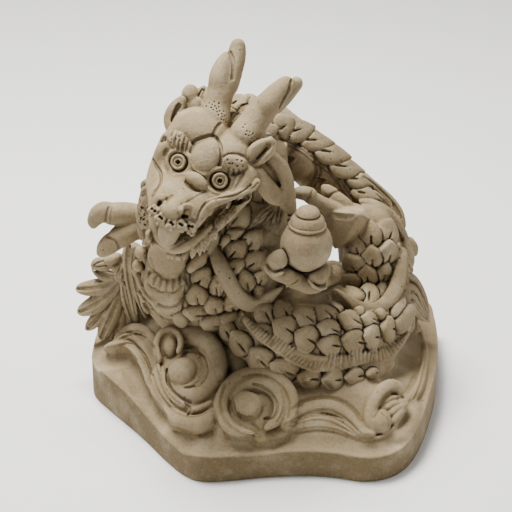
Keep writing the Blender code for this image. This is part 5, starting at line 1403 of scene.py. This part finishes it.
# ------------------------------------------------------------------ left hand and tail flames
def make_left():
    c = Clay((-168, -22, 30), (-78, 66, 200), 0.76)
    # the left arm comes from behind the throat
    c.rod(path([((-73.1, 20.4), 26, 14), ((-90.1, 27.2), 18, 12.5), ((-102, 33.1), 12, 10.5), ((-113.9, 35.7), 7, 9.4), ((-123.2, 35.7), 5, 8.6)]), 2)
    c.rod(path([((-90.1, 23.8), 16, 11), ((-102, 24.6), 8, 9.8), ((-109.6, 20.4), 3, 9.2), ((-117.3, 15.3), 0, 8.6)]), 2)
    # nails with a rolled cuff
    c.strap(path([((-123.2, 36.5), 5, 8.4), ((-129.2, 37.4), 4, 8.6), ((-134.3, 34.9), 3, 7.4), ((-137.7, 29.8), 2, 5.4), ((-138.1, 26.3), 2, 3.0)]), (.1, -.9, .4), 0.85, 0.8)
    c.strap(path([((-117.3, 14.4), 0, 8.0), ((-123.2, 11), -1, 8.4), ((-128.3, 6.8), -2, 6.8), ((-131.8, 2.5), -2, 3.6)]), (.1, -.9, .4), 0.85, 0.8)
    c.draw([(-125.1, 41.6), (-126.6, 35.7), (-127.5, 29.8), (-127, 24.6)], 0.9, 1.2, 0.3)
    c.draw([(-122.4, 40.8), (-123.8, 34.9), (-124.3, 29.8), (-123.8, 25.5)], 0.9, 1.0, 0.3)
    c.draw([(-126.6, 16.1), (-122.4, 14.4), (-118.1, 11), (-116.5, 6)], 0.9, 1.2, 0.3)
    # flames at the end of the tail, combed into locks
    root = at((-110.5, -19.6), 40)
    locks = [  # tip, depth there, width, bow, depth of the root
        ((-100.3, -63.8), 32, 6.4, -2, 5), ((-109.6, -72.2), 32, 7.4, -1, 3), ((-137.7, -10.2), 40, 6.0, 2, 2), ((-151.7, -27.6), 40, 7.6, 2, -3), ((-143.7, -61.6), 36, 7.4, 2, 1),
        ((-122.4, -77.3), 33, 7.8, 1, 0), ((-150.4, -47.2), 37, 8.6, 3, -4), ((-131.8, -69.7), 34, 8.8, 1, -4)]
    for i, (tip, y, w, bow, back) in enumerate(locks):
        b = at(tip, y)
        a = root + TOWARD * -back
        side = unit(np.cross(b - a, TOWARD))
        m1 = a + (b - a) * 0.34 + side * -bow * 0.6 + TOWARD * 5.0
        m2 = a + (b - a) * 0.66 + side * -bow + TOWARD * 4.5
        m3 = a + (b - a) * 0.90 + side * -bow * 0.4 + TOWARD * 1.5
        pts = curve(np.array([list(a) + [4.0], list(m1) + [w * 0.78], list(m2) + [w], list(m3) + [w * 0.72], list(b) + [2.2]]), 6)
        fur(c, pts, TOWARD + side * 0.25, 0.62, 0.2, (-0.2,), 1.7, 0.6)
        fur(c, pts[:14], TOWARD + side * 0.25, 0.5, 0.2, (0.55,), 0.9, 0.7)
    # the mass of hair that carries the fan, and long strands by the throat
    c.rod(path([((-104.5, 3.4), 34, 9), ((-102, -16.1), 36, 11), ((-99.5, -37.4), 38, 10), ((-97.8, -56.1), 40, 8)]), 2)
    for pts_, r_ in (([((-108.8, 8.5), 18, 3.0), ((-109.6, -5.1), 18, 3.6), ((-108, -20.4), 20, 3.6), ((-104.5, -37.4), 24, 3.0), ((-101.1, -56.1), 30, 2.0)], 0),
                     ([((-103.7, 5.1), 16, 3.0), ((-104.5, -10.2), 17, 3.6), ((-102, -25.5), 20, 3.4), ((-97.8, -40.8), 24, 2.6), ((-93.5, -52.7), 28, 1.6)], 0),
                     ([((-113, -23.8), 24, 3.0), ((-110.5, -37.4), 26, 3.8), ((-106.2, -51), 29, 3.4), ((-101.1, -62.9), 32, 2.0)], 0)):
        fur(c, path(pts_), TOWARD, 0.8, 0.4, (0.0,), 0.9, 0.6)
    # upper small locks and pellets
    for a, b, w in (((-122.4, -5.1), (-138.5, -8.5), 6.0), ((-117.3, -1.7), (-130, -5.1), 5.6), ((-113.9, -5.1), (-117.3, -20.4), 4.0)):
        p0, p1 = at(a, 32), at(b, 34)
        m = (p0 + p1) / 2 + TOWARD * 2.5
        fur(c, curve(np.array([list(p0) + [w * 0.8], list(m) + [w], list(p1) + [1.8]]), 7), TOWARD, 0.7, 0.8, (-0.3, 0.35), 0.9)
    for uv, y, r1, r2, ang in (((-122.4, -2.9), 28, 7.5, 4.6, 20), ((-116.5, -10.2), 28, 5.2, 7.4, 80), ((-134.8, -6.6), 36, 6.4, 5.2, 40)):
        a = math.radians(ang)
        ex = math.cos(a) * ACROSS + math.sin(a) * UPWARD
        c.egg(at(uv, y), (r1, r2, 4.6), np.stack([ex, np.cross(TOWARD, ex), TOWARD]), 0.6)
    c.draw([(-118.1, -16.1), (-116.5, -11.9), (-114.8, -7.6)], 0.9, 1.1, 0.2)
    c.draw([(-138.5, -8.5), (-134.3, -5.1)], 0.7, 1.0, 0.2, per=3)
    # tail stub that carries them
    c.rod(path([((-90.1, -10.2), 46, 14), ((-102, -13.6), 45, 13), ((-112.2, -17), 43, 10)]), 3)
    return c


# ------------------------------------------------------------------ flames behind the right knee
def make_right():
    c = Clay((98, -14, 40), (166, 70, 150), 0.68)
    # the fan that grows from behind the knee ribbon: four thick locks, one above the other
    for pts, w in (([((125.8, -14.4), 22), ((133.4, -19.6), 26), ((139.4, -28.9), 31), ((143.7, -39.9), 34), ((146.2, -49.3), 35)], 4.0),
                   ([((124.1, -25.5), 10), ((132.6, -27.2), 17), ((137.7, -34.9), 24), ((141.9, -44.2), 30), ((146.6, -53.1), 32)], 3.7),
                   ([((124.1, -32.3), 6), ((131.8, -33.6), 13), ((136, -39.9), 20), ((140.2, -47.2), 26), ((146.2, -54), 31)], 3.4),
                   ([((124.1, -39.1), 3), ((130.9, -41.2), 10), ((135.6, -47.2), 17), ((140.7, -51.9), 24), ((146.6, -54.8), 30)], 3.9)):
        rows = [list(at(q, y)) + [r] for (q, y), r in zip(pts, (w * 0.85, w, w * 0.98, w * 0.82, 1.7))]
        c.strap(curve(np.array(rows), 8), unit(TOWARD + np.array([0.45, 0, 0.1])), 0.95, 0.0)
    for line in ([(125.8, -21.2), (133, -23.8), (138.5, -28.9), (141.9, -37.4), (145.3, -47.6)], [(125.8, -29.3), (131.8, -30.2), (136.8, -34), (140.2, -41.6), (145.3, -51.9)], [(126.2, -35.7), (131.8, -37), (136, -42.5), (140.2, -48.4), (145.3, -53.5)]):
        c.draw(line, 0.9, 1.3, 0.1)
    c.rod(path([((123.2, -22.9), 18, 7), ((124.1, -32.3), 12, 7), ((125, -41.6), 10, 6)]), 1.5)
    # small tuft on the deck below it
    c.egg(at((134.7, -61.6), 27), (6.0, 5.0, 4.6), None, 0.8)
    for a, b in (((130, -54.4), (133, -61.2)), ((133, -53.1), (134.7, -60.4)), ((136.4, -53.1), (136.8, -60.4))):
        c.rod(np.array([list(at(a, 26)) + [1.5], list(at(b, 23.5)) + [1.3]]), 0.3)
    # locks above, between the thigh and the loop
    for a, b, w in (((125.8, -5.1), (131.8, -12.8), 4.4), ((123.2, -15.3), (130.9, -20.4), 4.4)):
        p0, p1 = at(a, 22), at(b, 30)
        m = (p0 + p1) / 2 + TOWARD * 1.5
        fur(c, curve(np.array([list(p0) + [w * 0.9], list(m) + [w], list(p1) + [2.2]]), 6), TOWARD, 0.8, 0.8, (-0.2,), 0.8)
    return c


# ------------------------------------------------------------------ the clay's colour and grain, with painted shade in hollows and painted highlights
def clay_material():
    m = bpy.data.materials.new("unglazed_clay")
    m.use_nodes = True
    nt = m.node_tree
    N, L = nt.nodes, nt.links
    N.clear()
    out = N.new("ShaderNodeOutputMaterial")
    b = N.new("ShaderNodeBsdfPrincipled")
    L.new(b.outputs[0], out.inputs[0])
    b.inputs["Roughness"].default_value = 0.82
    b.inputs["Specular IOR Level"].default_value = 0.32
    geo = N.new("ShaderNodeTexCoord")
    # per-vertex amounts of painted shade in hollows and painted highlight on raised edges
    at_ = N.new("ShaderNodeAttribute")
    at_.attribute_name = "hollow"
    highlight_attr = N.new("ShaderNodeAttribute")
    highlight_attr.attribute_name = "painted_highlight"

    def noise(scale, detail, rough=0.55):
        n = N.new("ShaderNodeTexNoise")
        n.inputs["Scale"].default_value = scale
        n.inputs["Detail"].default_value = detail
        n.inputs["Roughness"].default_value = rough
        L.new(geo.outputs["Object"], n.inputs["Vector"])
        return n

    def mixc(fac, a, b_, mode="MIX"):
        x = N.new("ShaderNodeMix")
        x.data_type = "RGBA"
        x.blend_type = mode
        x.clamp_result = True
        for sock, val in ((x.inputs[0], fac), (x.inputs[6], a), (x.inputs[7], b_)):
            if hasattr(val, "name") and hasattr(val, "links"):
                L.new(val, sock)
            else:
                sock.default_value = val
        return x.outputs[2]

    def ramp(src, p0, p1):
        r = N.new("ShaderNodeMapRange")
        r.inputs["From Min"].default_value = p0
        r.inputs["From Max"].default_value = p1
        L.new(src, r.inputs["Value"])
        return r.outputs["Result"]
    # the clay's own tones, a near-black brown for the painted shade in hollows, and a pale tone that also serves the
    # painted highlights
    base = (0.240, 0.176, 0.086, 1)
    pale = (0.395, 0.322, 0.205, 1)
    dim = (0.182, 0.128, 0.058, 1)
    crevice_shade_colour = (0.034, 0.020, 0.007, 1)
    warm = (0.31, 0.200, 0.105, 1)
    big, mid, fine = noise(9, 3), noise(38, 4), noise(420, 3, 0.7)
    col = mixc(ramp(big.outputs["Fac"], 0.38, 0.66), dim, base)
    col = mixc(ramp(mid.outputs["Fac"], 0.48, 0.74), col, pale)
    w = noise(16, 2)
    wf = N.new("ShaderNodeMath"); wf.operation = "MULTIPLY"; wf.inputs[1].default_value = 0.35
    L.new(ramp(w.outputs["Fac"], 0.56, 0.72), wf.inputs[0])
    col = mixc(wf.outputs[0], col, warm)
    # painted light: open surfaces a little paler; painted shade: hollows and crevices darker
    hi = N.new("ShaderNodeMapRange")
    hi.inputs["From Min"].default_value = 0.02
    hi.inputs["From Max"].default_value = 0.24
    hi.inputs["To Min"].default_value = 0.34
    hi.inputs["To Max"].default_value = 0.0
    L.new(at_.outputs["Fac"], hi.inputs["Value"])
    col = mixc(hi.outputs["Result"], col, pale)
    # painted shade: the deeper the hollow, the darker the colour
    ho = N.new("ShaderNodeMapRange")
    ho.inputs["From Min"].default_value = 0.24
    ho.inputs["From Max"].default_value = 0.90
    ho.inputs["To Max"].default_value = 0.90
    L.new(at_.outputs["Fac"], ho.inputs["Value"])
    col = mixc(ho.outputs["Result"], col, crevice_shade_colour)
    # painted highlight: raised edges, and the ribbon, paler
    ed = N.new("ShaderNodeMapRange")
    ed.inputs["From Min"].default_value = 0.16
    ed.inputs["From Max"].default_value = 0.46
    ed.inputs["To Max"].default_value = 0.60
    L.new(highlight_attr.outputs["Fac"], ed.inputs["Value"])
    col = mixc(ed.outputs["Result"], col, pale)
    # specks of grog
    sp = N.new("ShaderNodeTexVoronoi")
    sp.inputs["Scale"].default_value = 260
    L.new(geo.outputs["Object"], sp.inputs["Vector"])
    sm = N.new("ShaderNodeMapRange")
    sm.inputs["From Min"].default_value = 0.05
    sm.inputs["From Max"].default_value = 0.13
    sm.inputs["To Min"].default_value = 0.42
    sm.inputs["To Max"].default_value = 0.0
    L.new(sp.outputs["Distance"], sm.inputs["Value"])
    col = mixc(sm.outputs["Result"], col, (0.13, 0.10, 0.065, 1))
    # grainy tint of the bisque
    gr = N.new("ShaderNodeMath"); gr.operation = "MULTIPLY"; gr.inputs[1].default_value = 0.30
    L.new(ramp(fine.outputs["Fac"], 0.50, 0.72), gr.inputs[0])
    col = mixc(gr.outputs[0], col, pale)
    gd = N.new("ShaderNodeMath"); gd.operation = "MULTIPLY"; gd.inputs[1].default_value = 0.34
    L.new(ramp(fine.outputs["Fac"], 0.48, 0.26), gd.inputs[0])
    col = mixc(gd.outputs[0], col, (0.13, 0.09, 0.045, 1))
    # scattered pinholes left by bubbles and grit
    pit = N.new("ShaderNodeTexVoronoi")
    pit.inputs["Scale"].default_value = 115
    L.new(geo.outputs["Object"], pit.inputs["Vector"])
    cell = N.new("ShaderNodeSeparateColor")
    L.new(pit.outputs["Color"], cell.inputs[0])
    near = N.new("ShaderNodeMapRange")
    near.inputs["From Min"].default_value = 0.055
    near.inputs["From Max"].default_value = 0.12
    near.inputs["To Min"].default_value = 1.0
    near.inputs["To Max"].default_value = 0.0
    L.new(pit.outputs["Distance"], near.inputs["Value"])
    some = N.new("ShaderNodeMath"); some.operation = "GREATER_THAN"; some.inputs[1].default_value = 0.62
    L.new(cell.outputs[0], some.inputs[0])
    hole = N.new("ShaderNodeMath"); hole.operation = "MULTIPLY"
    L.new(near.outputs["Result"], hole.inputs[0])
    L.new(some.outputs[0], hole.inputs[1])
    hd = N.new("ShaderNodeMath"); hd.operation = "MULTIPLY"; hd.inputs[1].default_value = 0.7
    L.new(hole.outputs[0], hd.inputs[0])
    col = mixc(hd.outputs[0], col, (0.060, 0.040, 0.020, 1))
    L.new(col, b.inputs["Base Color"])
    # tooth of the clay: fine grain over a soft hand-smoothed unevenness
    h1 = N.new("ShaderNodeBump"); h1.inputs["Strength"].default_value = 0.6; h1.inputs["Distance"].default_value = 0.0022
    L.new(mid.outputs["Fac"], h1.inputs["Height"])
    h2 = N.new("ShaderNodeBump"); h2.inputs["Strength"].default_value = 0.8; h2.inputs["Distance"].default_value = 0.0009
    L.new(fine.outputs["Fac"], h2.inputs["Height"])
    L.new(h1.outputs[0], h2.inputs["Normal"])
    # the drag of a damp cloth: long faint strokes that run level
    mp = N.new("ShaderNodeMapping"); mp.inputs["Scale"].default_value = (0.10, 0.10, 1.0)
    L.new(geo.outputs["Object"], mp.inputs["Vector"])
    drag = N.new("ShaderNodeTexNoise"); drag.inputs["Scale"].default_value = 330; drag.inputs["Detail"].default_value = 2
    L.new(mp.outputs[0], drag.inputs["Vector"])
    h3 = N.new("ShaderNodeBump"); h3.inputs["Strength"].default_value = 0.28; h3.inputs["Distance"].default_value = 0.0006
    L.new(drag.outputs["Fac"], h3.inputs["Height"])
    L.new(h2.outputs[0], h3.inputs["Normal"])
    h4 = N.new("ShaderNodeBump"); h4.invert = True; h4.inputs["Strength"].default_value = 0.9; h4.inputs["Distance"].default_value = 0.0006
    L.new(hole.outputs[0], h4.inputs["Height"])
    L.new(h3.outputs[0], h4.inputs["Normal"])
    L.new(h4.outputs[0], b.inputs["Normal"])
    return m


# ------------------------------------------------------------------ build
TRIANGLES = {"ridge_base_with_waves": 170000, "dragon_head": 190000, "dragon_neck_and_breast": 170000,
             "dragon_lower_coil": 140000, "dragon_back_and_hind_leg": 150000, "flaming_jewel_and_hand": 60000,
             "left_hand_and_tail_flames": 70000, "knee_flames": 30000}


def build(job):
    name, maker = job
    c = maker()
    v, q = skin(c)
    return name, c, v, q


def put(name, c, v, q, mat):
    me = bpy.data.meshes.new(name)
    me.vertices.add(len(v))
    me.vertices.foreach_set("co", (v / 1000.0).astype(np.float32).ravel())
    me.loops.add(q.size)
    me.loops.foreach_set("vertex_index", q.astype(np.int32).ravel())
    me.polygons.add(len(q))
    me.polygons.foreach_set("loop_start", np.arange(0, q.size, 4, dtype=np.int32))
    me.polygons.foreach_set("loop_total", np.full(len(q), 4, np.int32))
    me.update(calc_edges=True)
    me.validate()
    ob = bpy.data.objects.new(name, me)
    bpy.context.collection.objects.link(ob)
    want = TRIANGLES[name]
    have = 2 * len(q)
    if have > want:
        bpy.context.view_layer.objects.active = ob
        ob.select_set(True)
        md = ob.modifiers.new("thin", "DECIMATE")
        md.ratio = want / have
        md.use_collapse_triangulate = True
        bpy.ops.object.modifier_apply(modifier="thin")
        ob.select_set(False)
    me = ob.data
    co = np.zeros(len(me.vertices) * 3, np.float32)
    me.vertices.foreach_get("co", co)
    p = co.reshape(-1, 3) * 1000.0
    # the broad faces of the base get weaker painted shade in hollows and weaker painted highlights than the scales
    base = name.startswith("ridge_base")
    base_paint_share = (0.50, 0.62) if base else (1.0, 1.0)
    for key, val, share in zip(("hollow", "painted_highlight"), hollows(c, p), base_paint_share):
        val = val * share
        if base and key == "hollow":
            # painted shade: the steep outer wall below the rim is darkened, as light from above reaches it weakly, so
            # it is a shade darker than the band above it
            no = np.zeros(len(me.vertices) * 3, np.float32)
            me.vertices.foreach_get("normal", no)
            wall = (1 - smooth((np.abs(no[2::3]) - 0.25) / 0.35)) * (1 - smooth((p[:, 2] - 34) / 6))
            val = np.maximum(val, 0.46 * wall)
        if name.startswith("flaming_jewel") and key == "hollow":
            # painted shade: the wrist is darkened as if it lay in the shade of the thigh
            val = np.maximum(val, 0.62 * smooth((p[:, 1] + 40) / 10) * smooth((p[:, 0] - 28) / 8))
        if getattr(c, "rubbed", None) is not None:
            # painted light: the ribbon is made paler, with less painted shade and more painted highlight, against the
            # shade the head casts on it
            near = np.full(len(p), 1e9)
            for q in c.rubbed:
                near = np.minimum(near, ((p - q[:3]) ** 2).sum(1) - q[3] ** 2 * 0.8)
            ribbon_light = np.exp(-np.maximum(near, 0) / 12.0)
            val = val * (1 - 0.7 * ribbon_light) if key == "hollow" else np.maximum(val, 0.40 * ribbon_light)
        me.attributes.new(key, "FLOAT", "POINT").data.foreach_set("value", val.astype(np.float32))
    me.polygons.foreach_set("use_smooth", np.ones(len(me.polygons), bool))
    me.materials.append(mat)
    me.update()
    return ob


def main():
    import time
    t0 = time.time()
    mat = clay_material()
    jobs = [("dragon_head", make_head), ("ridge_base_with_waves", make_base), ("dragon_neck_and_breast", make_chest),
            ("dragon_back_and_hind_leg", make_arch), ("dragon_lower_coil", make_coil),
            ("flaming_jewel_and_hand", make_jewel), ("left_hand_and_tail_flames", make_left), ("knee_flames", make_right)]
    with ThreadPoolExecutor(4) as pool:
        made = list(pool.map(build, jobs))
    print("fields", round(time.time() - t0, 1))
    total = 0
    for i, (name, c, v, q) in enumerate(made):
        ob = put(name, c, v, q, mat)
        total += len(ob.data.polygons)
        print(name, c.d.size // 1000, "k cells", len(q), "quads ->", len(ob.data.polygons), round(time.time() - t0, 1))
        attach(ob, "root")
        if i == 0:
            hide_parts(NODE)
        c.d = None
    print("triangles", total)


main()

# ------------------------------------------------------------------ floor, light, camera
me = bpy.data.meshes.new("floor")
bm = bmesh.new()
bmesh.ops.create_grid(bm, x_segments=1, y_segments=1, size=6.0)
bm.to_mesh(me)
bm.free()
floor = bpy.data.objects.new("floor", me)
bpy.context.collection.objects.link(floor)
fm = bpy.data.materials.new("floor_white")
fm.use_nodes = True
fm.node_tree.nodes["Principled BSDF"].inputs["Base Color"].default_value = (0.86, 0.86, 0.85, 1)
fm.node_tree.nodes["Principled BSDF"].inputs["Roughness"].default_value = 0.9
me.materials.append(fm)

world = bpy.data.worlds.new("studio")
bpy.context.scene.world = world
world.use_nodes = True
bg = world.node_tree.nodes["Background"]
bg.inputs[0].default_value = (1.0, 0.99, 0.97, 1)
bg.inputs[1].default_value = 0.16


def softbox(name, loc, aim, size, power, colour=(1, 1, 1)):
    d = bpy.data.lights.new(name, "AREA")
    d.shape = "RECTANGLE"
    d.size, d.size_y = size
    d.energy = power
    d.color = colour
    o = bpy.data.objects.new(name, d)
    bpy.context.collection.objects.link(o)
    o.location = loc
    o.rotation_euler = (Vector(aim) - Vector(loc)).to_track_quat("-Z", "Y").to_euler()
    return o


softbox("top", (-0.35, 0.30, 1.60), (0, 0, 0.1), (0.75, 0.7), 74, (1.0, 0.985, 0.96))
softbox("front", (-1.2, -1.1, 1.0), (0, 0, 0.12), (0.9, 0.9), 6.0, (1.0, 0.98, 0.95))
softbox("right", (1.4, 0.1, 1.2), (0, 0, 0.12), (0.8, 0.8), 9.0, (1.0, 0.98, 0.95))

cd = bpy.data.cameras.new("camera")
cam = bpy.data.objects.new("camera", cd)
bpy.context.collection.objects.link(cam)
bpy.context.scene.camera = cam
cd.sensor_width = 36.0
cd.lens = 36.0 * (EYE_AWAY / 0.85) / 512.0
cd.clip_start, cd.clip_end = 0.05, 30.0
cam.location = Vector(EYE / 1000.0)
cam.rotation_mode = "QUATERNION"
cam.rotation_quaternion = Vector(-TOWARD).to_track_quat("-Z", "Y")
